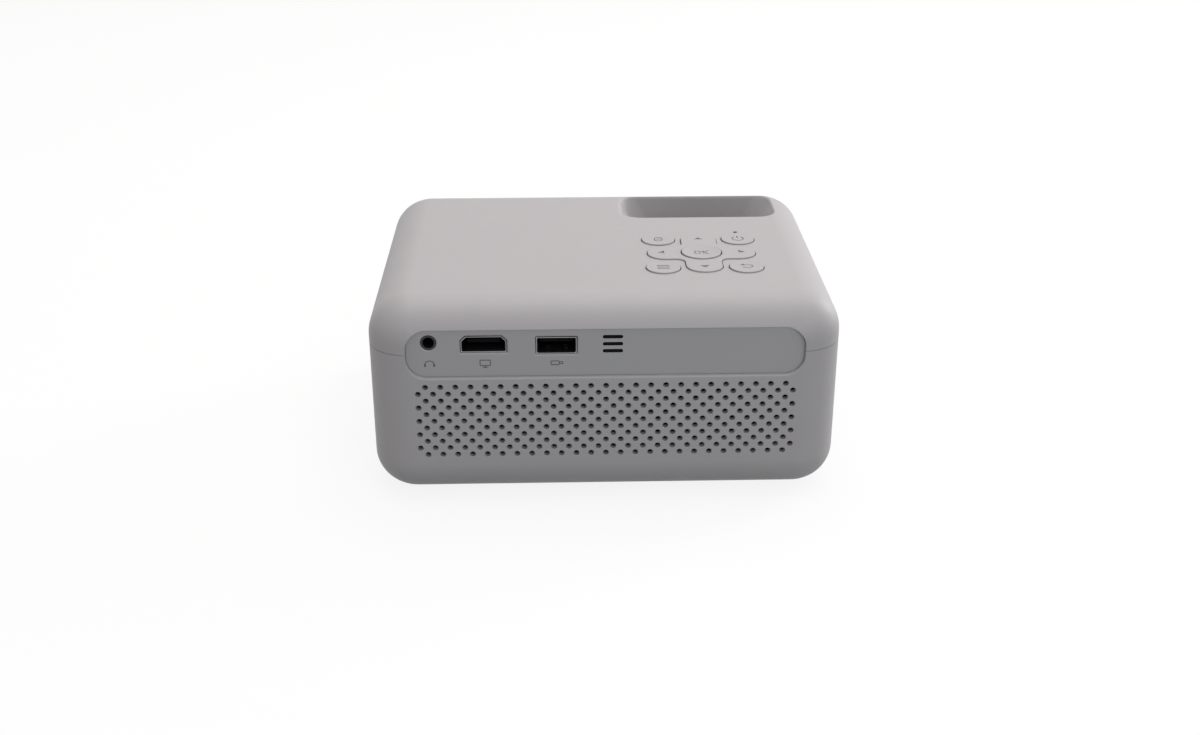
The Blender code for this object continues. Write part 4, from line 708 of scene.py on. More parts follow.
@dataclass(frozen=True)
class Piece:
    """How a finished solid is named and what it belongs to.

    Attributes:
        name: The piece's name.
        finish: Its surface.
        body: The body that it rides on.
        replaces: The frame's nodes that it stands for.
        crease: Edges sharper than this angle stay sharp.
    """

    name: str
    finish: Finish
    body: str = CHASSIS
    replaces: tuple[str, ...] = ()
    crease: float = 32.0

    def settle(self, made: bpy.types.Object) -> bpy.types.Object:
        """Names and dresses a solid and gives it its body.

        Args:
            made: The solid.

        Returns:
            The same solid, finished.
        """
        made.name = self.name
        made.data.name = self.name
        made.data.materials.clear()
        made.data.materials.append(self.finish.material())
        made.data.shade_smooth()
        made.data.set_sharp_from_angle(angle=math.radians(self.crease))
        evened = made.modifiers.new("even_normals", "WEIGHTED_NORMAL")
        evened.keep_sharp = True
        evened.weight = 100
        if self.replaces:
            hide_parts(*self.replaces)
        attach(made, self.body)
        LOG.info("%s is in place", self.name)
        return made


def dress(finish: Finish, *nodes: str) -> None:
    """Gives nodes that keep their own shape a finish.

    Args:
        finish: Their surface.
        nodes: Their names.
    """
    for node in nodes:
        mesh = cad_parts[node].data
        mesh.materials.clear()
        mesh.materials.append(finish.material())
        LOG.info("%s keeps its shape", node)


# Pieces


@dataclass(frozen=True)
class BodySizes:
    """The body's main sizes, which every sub-assembly is placed by.

    Attributes:
        width: Across the sockets.
        depth: From the sockets to the lens.
        bottom: Level of the underside.
        top: Level of the top face.
        corner: Radius of the upright corners.
        top_fillet: Radius round the top.
        bottom_fillet: Radius round the underside.
        wall: Wall of both shells.
        seam: Level where the shells meet.
        gap: Running gap between pieces.
    """

    width: float = 158.5 * MM
    depth: float = 126 * MM
    bottom: float = 1.5 * MM
    top: float = 71.5 * MM
    corner: float = 15 * MM
    top_fillet: float = 14 * MM
    bottom_fillet: float = 13 * MM
    wall: float = 2.5 * MM
    seam: float = 54.8 * MM
    gap: float = 0.3 * MM

    @property
    def side(self) -> float:
        """Distance of a side wall from the middle."""
        return self.width / 2

    @property
    def front(self) -> float:
        """Distance of the front and rear walls from the middle."""
        return self.depth / 2

    def rounded(self, inset: float, corner_steps: int, fillet_steps: int) -> bpy.types.Object:
        """Makes the body's rounded box, drawn in evenly.

        Args:
            inset: How far it is drawn in.
            corner_steps: Steps round each upright corner.
            fillet_steps: Steps round the top and bottom edges.

        Returns:
            The solid.
        """
        levels: Outline = []
        low, high = self.bottom_fillet - inset, self.top_fillet - inset
        for step in range(fillet_steps + 1):
            angle = QUARTER * (1 - step / fillet_steps)
            levels.append((low * (1 - math.cos(angle)), self.bottom + inset + low * (1 - math.sin(angle))))
        for step in range(fillet_steps + 1):
            angle = QUARTER * step / fillet_steps
            levels.append((high * (1 - math.cos(angle)), self.top - inset - high * (1 - math.sin(angle))))
        half_x, half_y, corner = self.side - inset, self.front - inset, self.corner - inset
        return loft(
            [
                lay(rounded_rectangle((0, 0), half_x - d, half_y - d, corner - d, corner_steps), z, Axis.Z)
                for d, z in levels
            ]
        )


@dataclass(frozen=True)
class KeySizes:
    """Places and sizes of the keys on the top face.

    Attributes:
        pad: Middle of the keypad.
        spacing_x: From the middle to a round key, across.
        spacing_y: From the middle to a round key, along.
        radius: Radius of a round key.
        middle_radius: Radius of the middle key.
        reach: From the middle to the tip of a rocker arm.
        half: Half the width of a rocker arm.
        arm_corner: Radius of an arm's end corners.
        arm_fillet: Radius between two arms.
        gap: Gap round each key.
        proud: How far the keys stand up.
        middle_proud: How far the middle key's rim stands up.
        light: Place of the status light.
        light_radius: Radius of the status light.
    """

    pad: Point = (35.4 * MM, -13.6 * MM)
    spacing_x: float = 14.45 * MM
    spacing_y: float = 14.2 * MM
    radius: float = 5.9 * MM
    middle_radius: float = 6.95 * MM
    reach: float = 19.1 * MM
    half: float = 6.3 * MM
    arm_corner: float = 6 * MM
    arm_fillet: float = 3 * MM
    gap: float = 0.3 * MM
    proud: float = 0.45 * MM
    middle_proud: float = 0.8 * MM
    light: Point = (49.85 * MM, 8.4 * MM)
    light_radius: float = 0.5 * MM

    def place(self, across: int, along: int) -> Point:
        """Returns the middle of a round key, from its side (-1 or 1) across and along."""
        return (self.pad[0] + across * self.spacing_x, self.pad[1] + along * self.spacing_y)

    def cross(self, grow: float) -> Outline:
        """Returns the rocker's outline, grown by an even margin."""
        reach, half = self.reach + grow, self.half + grow
        corner, fillet = self.arm_corner + grow, self.arm_fillet - grow
        arm = arc((reach - corner, corner - half), corner, -QUARTER, 0, 10)
        arm += arc((reach - corner, half - corner), corner, 0, QUARTER, 10)
        arm += arc((half + fillet, half + fillet), fillet, -QUARTER, -2 * QUARTER, 8)
        points: Outline = []
        for turn in range(4):
            cos, sin = round(math.cos(turn * QUARTER)), round(math.sin(turn * QUARTER))
            points += [(self.pad[0] + u * cos - v * sin, self.pad[1] + u * sin + v * cos) for u, v in arm]
        return points


@dataclass(frozen=True)
class PortSizes:
    """Places and sizes of the port panel and its sockets.

    Attributes:
        half_width: Half the width of the panel's recess.
        half_height: Half the height of the recess.
        corner: Corner radius of the recess.
        face: Level of the panel's face.
        back: Level of the panel's back.
        jack: Middle of the audio jack.
        video: Middle of the video socket.
        video_width: Width of the video socket.
        video_height: Height of the video socket.
        video_chamfer: Cut at its upper corners.
        data: Middle of the data socket.
        data_width: Width of the data socket.
        data_height: Height of the data socket.
        slot: Middle of the top slot.
        slot_pitch: Spacing of the slots.
        slot_length: Length of a slot.
        slot_height: Height of a slot.
    """

    half_width: float = 66 * MM
    half_height: float = 8.4 * MM
    corner: float = 6.8 * MM
    face: float = -61.4 * MM
    back: float = -60.2 * MM
    jack: Point = (-58.4 * MM, 58.6 * MM)
    video: Point = (-40.3 * MM, 57.9 * MM)
    video_width: float = 15 * MM
    video_height: float = 5.5 * MM
    video_chamfer: float = 1.6 * MM
    data: Point = (-16.3 * MM, 57.25 * MM)
    data_width: float = 13.3 * MM
    data_height: float = 5.8 * MM
    slot: Point = (2.3 * MM, 60.2 * MM)
    slot_pitch: float = 2.52 * MM
    slot_length: float = 6.5 * MM
    slot_height: float = 1.1 * MM

    def recess(self, seam: float, shrink: float) -> Outline:
        """Returns the panel's outline, drawn in evenly."""
        half_u, half_v = self.half_width - shrink, self.half_height - shrink
        return rounded_rectangle((0, seam), half_u, half_v, self.corner - shrink, 12)

    def video_outline(self, grow: float) -> Outline:
        """Returns the video socket's outline with softened corners, grown by an even margin."""
        half, tall = self.video_width / 2 + grow, self.video_height / 2 + grow
        chamfer = self.video_chamfer + grow * 0.4
        (x, z), soft = self.video, 0.16 * MM + max(grow, 0) * 0.5
        sharp = [
            (x - half, z - tall),
            (x + half, z - tall),
            (x + half, z + tall - chamfer),
            (x + half - chamfer, z + tall),
            (x - half + chamfer, z + tall),
            (x - half, z + tall - chamfer),
        ]
        return softened(sharp, dict.fromkeys(range(len(sharp)), soft), 4)

    def data_outline(self, grow: float) -> Outline:
        """Returns the data socket's outline with softened corners, grown by an even margin."""
        soft = 0.3 * MM + max(grow, 0) * 0.6
        half_u, half_v = self.data_width / 2 + grow, self.data_height / 2 + grow
        return rounded_rectangle(self.data, half_u, half_v, soft, 5)

    def slot_outline(self, row: int, grow: float) -> Outline:
        """Returns one slot's outline, grown by an even margin."""
        middle = (self.slot[0], self.slot[1] - row * self.slot_pitch)
        half_v = self.slot_height / 2 + grow
        return rounded_rectangle(middle, self.slot_length / 2 + grow, half_v, half_v * 0.9, 5)


@dataclass(frozen=True)
class LensSizes:
    """Places and sizes along the lens axis.

    Attributes:
        axis: Where the axis crosses the (x, z) plane.
        pocket_middle: Middle of the finger pocket.
        pocket_half_x: Half the pocket's width.
        pocket_half_y: Half the pocket's depth.
        pocket_corner: Corner radius of the pocket.
        pocket_lean: How far each end of the pocket leans in at its floor.
        pocket_floor: Level of the pocket's floor.
        pocket_wall: Wall of the pocket's tub.
        ring_outer: Radius of the focus ring.
        ring_inner: Radius of its bore.
        ring_rear: Rear face of the ring.
        ring_front: Front face of the ring.
        bezel_outer: Radius of the bezel round the lens opening.
        bezel_inner: Radius of the bezel's bore.
        bezel_flange: Radius of its flange behind the wall.
        barrel_outer: Radius of the barrel.
        barrel_inner: Radius of its seats.
        barrel_rear: Rear end of the barrel.
        barrel_front: Front end of the barrel.
    """

    axis: Point = (38.4 * MM, 33.5 * MM)
    pocket_middle: Point = (38.4 * MM, 40 * MM)
    pocket_half_x: float = 28.9 * MM
    pocket_half_y: float = 13 * MM
    pocket_corner: float = 7 * MM
    pocket_lean: float = 6.8 * MM
    pocket_floor: float = 57.5 * MM
    pocket_wall: float = 2 * MM
    ring_outer: float = 27 * MM
    ring_inner: float = 19.1 * MM
    ring_rear: float = 34 * MM
    ring_front: float = 45 * MM
    bezel_outer: float = 18.9 * MM
    bezel_inner: float = 17.1 * MM
    bezel_flange: float = 20.4 * MM
    barrel_outer: float = 16.5 * MM
    barrel_inner: float = 14.5 * MM
    barrel_rear: float = 23 * MM
    barrel_front: float = 51 * MM

    def pocket(self, grow: float, lean: float = 0.0) -> Outline:
        """Returns the pocket's outline, grown by an even margin, with its ends drawn in by lean."""
        half_x, half_y = self.pocket_half_x + grow - lean, self.pocket_half_y + grow
        return rounded_rectangle(self.pocket_middle, half_x, half_y, self.pocket_corner + grow, 14)


@dataclass
class Shells:
    """The upper and lower shells, moulded in light grey plastic."""

    body: BodySizes
    keys: KeySizes
    ports: PortSizes
    lens: LensSizes
    seam_gap: float = 0.16 * MM
    key_rim: float = 0.08 * MM
    panel_rim: float = 0.5 * MM
    pocket_rim: float = 1.6 * MM
    hole_rim: float = 0.16 * MM
    vent_rim: float = 0.3 * MM
    grille_pitch: float = 5 * MM
    grille_top: float = 43.2 * MM
    grille_rows: int = 11
    grille_columns: int = 25
    grille_hole: float = 0.98 * MM
    grille_sides: int = 16
    vent_low: float = 16.5 * MM
    vent_pitch: float = 4.4 * MM
    vent_count: int = 9
    vent_half_length: float = 20 * MM
    vent_height: float = 2 * MM
    vent_middle: float = 7 * MM
    inlet: Point = (-34 * MM, 20.5 * MM)
    inlet_radius: float = 3.5 * MM
    boss_x: float = 70.25 * MM
    boss_y: float = 50 * MM
    boss_radius: float = 4.6 * MM
    screw_well: float = 3.2 * MM
    screw_seat: float = 50.5 * MM
    foot_x: float = 55.25 * MM
    foot_y: float = 40 * MM
    foot_well: float = 6.3 * MM
    foot_depth: float = 0.8 * MM
    tripod_boss: float = 7.5 * MM
    tripod_well: float = 5.3 * MM
    tripod_top: float = 12 * MM
    seat_margin: float = 1.8 * MM
    seat_back: float = -57.9 * MM
    recess_depth: float = 3.1 * MM
    light_room: float = 0.32 * MM
    ring_slot_half: float = 15.6 * MM
    ring_slot_margin: float = 1.7 * MM
    round_rim: float = 0.5 * MM
    well_rim: float = 0.4 * MM

    def build(self) -> list[bpy.types.Object]:
        """Builds both shells.

        Returns:
            The upper and the lower shell.
        """
        lower = cut(self.body.rounded(0, 16, 14), self.cavity(), *self.rear_openings())
        upper = lower.copy()
        upper.data = lower.data.copy()
        bpy.context.scene.collection.objects.link(upper)
        span, half_gap = self.body.width, self.seam_gap / 2
        cut(lower, block((-span, -span, self.body.seam - half_gap), (span, span, span)))
        cut(upper, block((-span, -span, -span), (span, span, self.body.seam + half_gap)))
        cut(upper, *self.top_openings())
        cut(lower, *self.lower_openings())
        made = []
        for name, half in (("upper_shell", upper), ("lower_shell", lower)):
            made.append(Piece(f"{name}_skin", SHELL_ABS, replaces=(name,), crease=38).settle(half))
        return made

    def corners(self, x: float, y: float) -> list[Point]:
        """Returns the four places that mirror (x, y) about the middle."""
        return [(across * x, along * y) for across in (-1, 1) for along in (-1, 1)]

    def cavity(self) -> bpy.types.Object:
        """Returns the space inside, less the panel's seat, the pocket's tub and the bosses."""
        body, ports, lens = self.body, self.ports, self.lens
        seat_x, seat_z = ports.half_width + self.seat_margin, ports.half_height + self.seat_margin
        tub = lens.pocket_wall
        features = [
            block((-seat_x, -body.front, body.seam - seat_z), (seat_x, self.seat_back, body.seam + seat_z)),
            prism(lens.pocket(tub), lens.pocket_floor - tub, body.top),
            prism(circle((0, 0), self.tripod_boss, 32), 0, self.tripod_top - 1.5 * MM),
        ]
        bosses = [
            prism(circle(place, self.boss_radius, 24), 0, body.top)
            for place in self.corners(self.boss_x, self.boss_y)
        ]
        return cut(body.rounded(body.wall, 10, 10), *features, gather(bosses))

    def rear_openings(self) -> list[bpy.types.Object]:
        """Returns the cutters for the panel's recess, the sockets behind it and the lens opening."""
        body, ports, lens = self.body, self.ports, self.lens
        recess = soft_opening(
            lambda grow: ports.recess(body.seam, -grow),
            -body.front,
            self.recess_depth,
            self.panel_rim,
            Axis.Y,
            -1,
        )
        window = block((-64.4 * MM, -60.6 * MM, 52.1 * MM), (8.8 * MM, -56.4 * MM, 62.3 * MM))
        bore = soft_opening(
            lambda grow: circle(lens.axis, lens.bezel_outer + body.gap / 2 + grow, 96),
            body.front,
            body.wall + OVERRUN,
            self.round_rim,
            Axis.Y,
            1,
        )
        return [recess, window, bore]

    def top_openings(self) -> list[bpy.types.Object]:
        """Returns the cutters for the keys, the status light and the finger pocket."""
        keys, lens, top = self.keys, self.lens, self.body.top
        depth, key_room = self.body.wall + OVERRUN, keys.radius + keys.gap
        cutters = [
            soft_opening(
                lambda grow, spot=keys.place(across, along): circle(spot, key_room + grow, 64),
                top,
                depth,
                self.key_rim,
                Axis.Z,
                1,
            )
            for across in (-1, 1)
            for along in (-1, 1)
        ]
        cutters.append(
            soft_opening(lambda grow: keys.cross(keys.gap + grow), top, depth, self.key_rim, Axis.Z, 1)
        )
        light = keys.light_radius + self.light_room
        cutters.append(prism(circle(keys.light, light, 24), top - depth, top + OVERRUN))
        tub_depth = top - lens.pocket_floor
        foot = lens.pocket(0, lens.pocket_lean)
        cutters.append(soft_opening(lens.pocket, top, tub_depth, self.pocket_rim, Axis.Z, 1, foot))
        half, margin = self.ring_slot_half, self.ring_slot_margin
        tub_under = lens.pocket_floor - lens.pocket_wall - OVERRUN
        cutters.append(
            block(
                (lens.axis[0] - half, lens.ring_rear - margin, tub_under),
                (lens.axis[0] + half, lens.ring_front + margin, lens.pocket_floor + OVERRUN),
            )
        )
        return cutters

    def lower_openings(self) -> list[bpy.types.Object]:
        """Returns the cutters for the grille, vents, power inlet, screws, feet and tripod thread."""
        body, depth = self.body, self.body.wall + OVERRUN
        holes = []
        for row in range(self.grille_rows):
            count = self.grille_columns + row % 2
            z = self.grille_top - row * self.grille_pitch / 2
            for k in range(count):
                spot = ((k - (count - 1) / 2) * self.grille_pitch, z)
                holes.append(
                    soft_opening(
                        lambda grow, spot=spot: circle(spot, self.grille_hole + grow, self.grille_sides),
                        -body.front,
                        depth,
                        self.hole_rim,
                        Axis.Y,
                        -1,
                    )
                )
        vents = []
        for row in range(self.vent_count):
            z = self.vent_low + row * self.vent_pitch
            for wall in (-1, 1):
                vents.append(
                    soft_opening(
                        lambda grow, spot=(wall * self.vent_middle, z): rounded_rectangle(
                            spot,
                            self.vent_half_length + grow,
                            self.vent_height / 2 + grow,
                            self.vent_height * 0.45 + grow,
                            6,
                        ),
                        wall * body.side,
                        depth,
                        self.vent_rim,
                        Axis.X,
                        wall,
                    )
                )
        inlet = soft_opening(
            lambda grow: circle(self.inlet, self.inlet_radius + grow, 48),
            body.side,
            depth,
            self.round_rim,
            Axis.X,
            1,
        )
        wells = []
        for place in self.corners(self.boss_x, self.boss_y):
            wells.append(
                soft_opening(
                    lambda grow, place=place: circle(place, self.screw_well + grow, 32),
                    body.bottom + 1.2 * MM,
                    self.screw_seat - body.bottom - 1.2 * MM,
                    self.well_rim,
                    Axis.Z,
                    -1,
                )
            )
        for place in self.corners(self.foot_x, self.foot_y):
            wells.append(prism(circle(place, self.foot_well, 48), -OVERRUN, body.bottom + self.foot_depth))
        wells.append(prism(circle((0, 0), self.tripod_well, 48), -OVERRUN, self.tripod_top))
        return [gather(holes), gather(vents), inlet, gather(wells)]


@dataclass
class PortPanel:
    """The plate round the sockets, with its printed signs."""

    body: BodySizes
    ports: PortSizes
    edge: float = 0.06 * MM
    window_rim: float = 0.55 * MM
    jack_rim: float = 0.45 * MM
    window_gap: float = 0.25 * MM
    jack_window: float = 2.65 * MM
    slot_skin: float = 0.3 * MM
    slot_room: float = 0.09 * MM
    ink: float = 0.03 * MM
    line: float = 0.32 * MM
    sign_z: float = 51.1 * MM

    def build(self) -> list[bpy.types.Object]:
        """Builds the plate and its signs.

        Returns:
            The pieces.
        """
        ports, face, depth = self.ports, self.ports.face, self.ports.back - self.ports.face + OVERRUN
        rings = [lay(ports.recess(self.body.seam, self.edge), ports.back, Axis.Y)]
        for drop, inset in ((0.15, 0.0), (0.04, 0.04), (0.0, 0.15)):
            outline = ports.recess(self.body.seam, self.edge + inset * MM)
            rings.append(lay(outline, face + drop * MM, Axis.Y))
        openings = [
            lambda grow: circle(ports.jack, self.jack_window + grow, 48),
            lambda grow: ports.video_outline(self.window_gap + grow),
            lambda grow: ports.data_outline(self.window_gap + grow),
        ]
        openings += [lambda grow, row=row: ports.slot_outline(row, self.slot_room + grow) for row in range(3)]
        rims = [self.jack_rim, self.window_rim, self.window_rim] + [0.06 * MM] * 3
        middle = (ports.slot[0], ports.slot[1] - ports.slot_pitch)
        half_u, half_v = ports.slot_length / 2 + 1 * MM, ports.slot_pitch + 1.6 * MM
        relief = rounded_rectangle(middle, half_u, half_v, 0.6 * MM, 4)
        plate = cut(
            loft(rings),
            prism(relief, face + self.slot_skin, ports.back + OVERRUN, Axis.Y),
            *[
                soft_opening(shape, face, depth, rim, Axis.Y, -1)
                for shape, rim in zip(openings, rims, strict=True)
            ],
        )
        # A near-black sheet just behind the slots' thin skin paints the shade inside the top slots.
        painted_shade_film = prism(relief, face + self.slot_skin + HAIR, face + self.slot_skin + 0.15 * MM, Axis.Y)
        made = [
            Piece("port_plate", PANEL_ABS, replaces=("port_panel",)).settle(plate),
            Piece("slot_painted_shade_film", SOCKET_BLACK_AND_SHADE).settle(painted_shade_film),
        ]
        for name, outlines in self.signs().items():
            made.append(Piece(name, PRINT_INK).settle(self.printed(outlines)))
        return made

    def printed(self, outlines: list[Outline]) -> bpy.types.Object:
        """Returns a layer of ink with these outlines, on the plate's face."""
        face = self.ports.face
        return gather([prism(o, face - self.ink, face + self.ink * 2, Axis.Y) for o in outlines])

    def signs(self) -> dict[str, list[Outline]]:
        """Returns the outlines of the signs: a headphone, a screen and a memory stick."""
        line, z = self.line, self.sign_z
        x = self.ports.jack[0] + 0.15 * MM
        bow = band((x, z - 0.15 * MM), 1.5 * MM, line, 0, math.pi)
        head = [[(u, z + (v - z) * 0.85) for u, v in bow]]
        for side in (-1, 1):
            middle = (x + side * 1.5 * MM, z - 0.5 * MM)
            head.append(rounded_rectangle(middle, 0.32 * MM, 0.48 * MM, 0.25 * MM, 5))
        x = self.ports.video[0] + 0.4 * MM
        low, high, half = z - 0.75 * MM, z + 1.25 * MM, 1.7 * MM
        screen = [
            bar((x - half, low), (x + half, low), line),
            bar((x - half, high), (x + half, high), line),
            bar((x - half, low + line / 2), (x - half, high - line / 2), line),
            bar((x + half, low + line / 2), (x + half, high - line / 2), line),
            bar((x, low - line / 2), (x, low - 0.5 * MM), line),
            bar((x - 0.8 * MM, low - 0.6 * MM), (x + 0.8 * MM, low - 0.6 * MM), line),
        ]
        x = self.ports.data[0]
        low, high, left, right = z - 0.65 * MM, z + 0.65 * MM, x - 1.9 * MM, x + 0.9 * MM
        stick = [
            bar((left, low), (right, low), line),
            bar((left, high), (right, high), line),
            bar((left, low + line / 2), (left, high - line / 2), line),
            bar((right, low + line / 2), (right, high - line / 2), line),
            bar((right + line / 2, low + 0.3 * MM), (right + 1.1 * MM, low + 0.3 * MM), line * 0.8),
            bar((right + line / 2, high - 0.3 * MM), (right + 1.1 * MM, high - 0.3 * MM), line * 0.8),
            bar((right + 1.1 * MM, low + 0.17 * MM), (right + 1.1 * MM, high - 0.17 * MM), line * 0.8),
        ]
        return {"headphone_sign": head, "screen_sign": screen, "stick_sign": stick}


@dataclass
class Sockets:
    """The three sockets behind the panel."""

    ports: PortSizes
    mouth: float = -61.1 * MM
    video_length: float = 11 * MM
    data_length: float = 14 * MM
    skin: float = 0.3 * MM
    lip: float = 0.16 * MM
    jack_collar: float = 2.55 * MM
    jack_bore: float = 1.92 * MM

    def build(self) -> list[bpy.types.Object]:
        """Builds the sockets.

        Returns:
            The pieces.
        """
        return [*self.video(), *self.data(), self.jack()]

    def shell(self, shape: Callable[[float], Outline], length: float) -> bpy.types.Object:
        """Returns a folded metal shell, open at its mouth, whose edge turns out a little."""
        end = self.mouth + length
        outer = loft(
            [
                lay(shape(-0.06 * MM), self.mouth, Axis.Y),
                lay(shape(0), self.mouth + 0.1 * MM, Axis.Y),
                lay(shape(0), end, Axis.Y),
            ]
        )
        inner = loft(
            [
                lay(shape(-self.lip), self.mouth - OVERRUN, Axis.Y),
                lay(shape(-self.lip), self.mouth + 0.05 * MM, Axis.Y),
                lay(shape(-self.skin), self.mouth + 0.3 * MM, Axis.Y),
                lay(shape(-self.skin), end - 1 * MM, Axis.Y),
            ]
        )
        return cut(outer, inner)

    def shade_lined(
        self, shape: Callable[[float], Outline], length: float, low: Point, high: Point
    ) -> bpy.types.Object:
        """Returns the moulded insert of a socket: a near-black liner on the shell's inner walls, which is
        painted shade inside the socket, its back wall and the tongue.

        Args:
            shape: The socket's outline, grown by an even margin.
            length: The socket's length.
            low: Lower corner of the tongue, (x, z).
            high: Upper corner of the tongue, (x, z).

        Returns:
            The solid.
        """
        gap = 0.06 * MM
        start, end = self.mouth + 0.45 * MM, self.mouth + length - 1 * MM - gap
        # The liner paints the shade inside the socket: it darkens the shell's inner walls.
        shade_liner = cut(
            prism(shape(-self.skin - gap), start, end, Axis.Y),
            prism(shape(-self.skin - 0.3 * MM), start - OVERRUN, end - 0.8 * MM, Axis.Y),
        )
        tongue = rounded_rectangle(
            ((low[0] + high[0]) / 2, (low[1] + high[1]) / 2),
            (high[0] - low[0]) / 2,
            (high[1] - low[1]) / 2,
            0.2 * MM,
            3,
        )
        return join(shade_liner, prism(tongue, self.mouth + 2.2 * MM, end - 0.4 * MM, Axis.Y))

    def contacts(
        self, count: int, pitch: float, middle: Point, width: float, length: float
    ) -> bpy.types.Object:
        """Returns a row of flat contacts that lie on a tongue's face."""
        start = self.mouth + 3.4 * MM
        made = []
        for k in range(count):
            x = middle[0] + (k - (count - 1) / 2) * pitch
            low = (x - width / 2, start, middle[1] - 0.06 * MM)
            made.append(block(low, (x + width / 2, start + length, middle[1] + 0.06 * MM)))
        return gather(made)

    def video(self) -> list[bpy.types.Object]:
        """Builds the wide socket with cut upper corners."""
        x, z = self.ports.video
        z += 0.5 * MM
        half, thick = 5.5 * MM, 0.65 * MM
        low, high = (x - half, z - thick), (x + half, z + thick)
        # The insert's liner is painted shade inside the socket; its tongue is the real black plastic.
        insert = self.shade_lined(self.ports.video_outline, self.video_length, low, high)
        rows = [
            self.contacts(10, 1 * MM, (x, z + thick), 0.4 * MM, 5 * MM),
            self.contacts(9, 1 * MM, (x, z - thick), 0.4 * MM, 5 * MM),
        ]
        shell = self.shell(self.ports.video_outline, self.video_length)
        gold = Piece("video_contacts", GOLD_CONTACT).settle(gather(rows))
        return [
            Piece("video_shell", NICKEL_STEEL, replaces=("video_socket",)).settle(shell),
            Piece("video_insert_and_shade_liner", SOCKET_BLACK_AND_SHADE, replaces=("video_tongue",)).settle(insert),
            gold,
        ]

    def data(self) -> list[bpy.types.Object]:
        """Builds the plain rectangular socket, with its springs and contacts."""
        x, z = self.ports.data
        top = z + self.ports.data_height / 2 - self.skin - 0.3 * MM
        low = (x - 5.5 * MM, top - 1.8 * MM)
        # The insert's liner is painted shade inside the socket; its tongue is the real black plastic.
        insert = self.shade_lined(self.ports.data_outline, self.data_length, low, (x + 5.5 * MM, top))
        shell = self.shell(self.ports.data_outline, self.data_length)
        floor = z - self.ports.data_height / 2 + self.skin
        springs = []
        for side in (-1, 1):
            middle = x + side * 2.9 * MM
            profile = [(1.5, 0.06), (2.6, 0.5), (4.6, 0.62), (7.0, 0.2), (7.0, -0.1), (1.5, -0.1)]
            leaf = [(self.mouth + u * MM, floor + v * MM) for u, v in profile]
            springs.append(prism(leaf, middle - 0.9 * MM, middle + 0.9 * MM, Axis.X))
        join(shell, gather(springs))
        gold = self.contacts(4, 2.3 * MM, (x, top - 1.8 * MM), 1 * MM, 7 * MM)
        gold_piece = Piece("data_contacts", GOLD_CONTACT).settle(gold)
        return [
            Piece("data_shell", NICKEL_STEEL, replaces=("data_socket",)).settle(shell),
            Piece("data_insert_and_shade_liner", SOCKET_BLACK_AND_SHADE, replaces=("data_tongue",)).settle(insert),
            gold_piece,
        ]

    def jack(self) -> bpy.types.Object:
        """Builds the audio jack: a collar with a rolled edge in front of its moulded body."""
        (x, z), back = self.ports.jack, self.ports.back
        end = back + 12.3 * MM
        base = block((x - 3 * MM, back + 0.3 * MM, 54.3 * MM), (x + 3 * MM, end, z + 3 * MM))
        profile = softened(
            [
                (self.jack_bore, self.mouth),
                (self.jack_collar, self.mouth),
                (self.jack_collar, back + OVERRUN),
                (self.jack_bore, back + OVERRUN),
            ],
            {0: 0.1 * MM, 1: 0.12 * MM},
        )
        jack = join(base, turned(profile, (x, z), Axis.Y, 48))
        bore = prism(circle((x, z), self.jack_bore, 48), self.mouth - OVERRUN, end - 1 * MM, Axis.Y)
        return Piece("jack_body", BLACK_NYLON, replaces=("audio_jack",)).settle(cut(jack, bore))


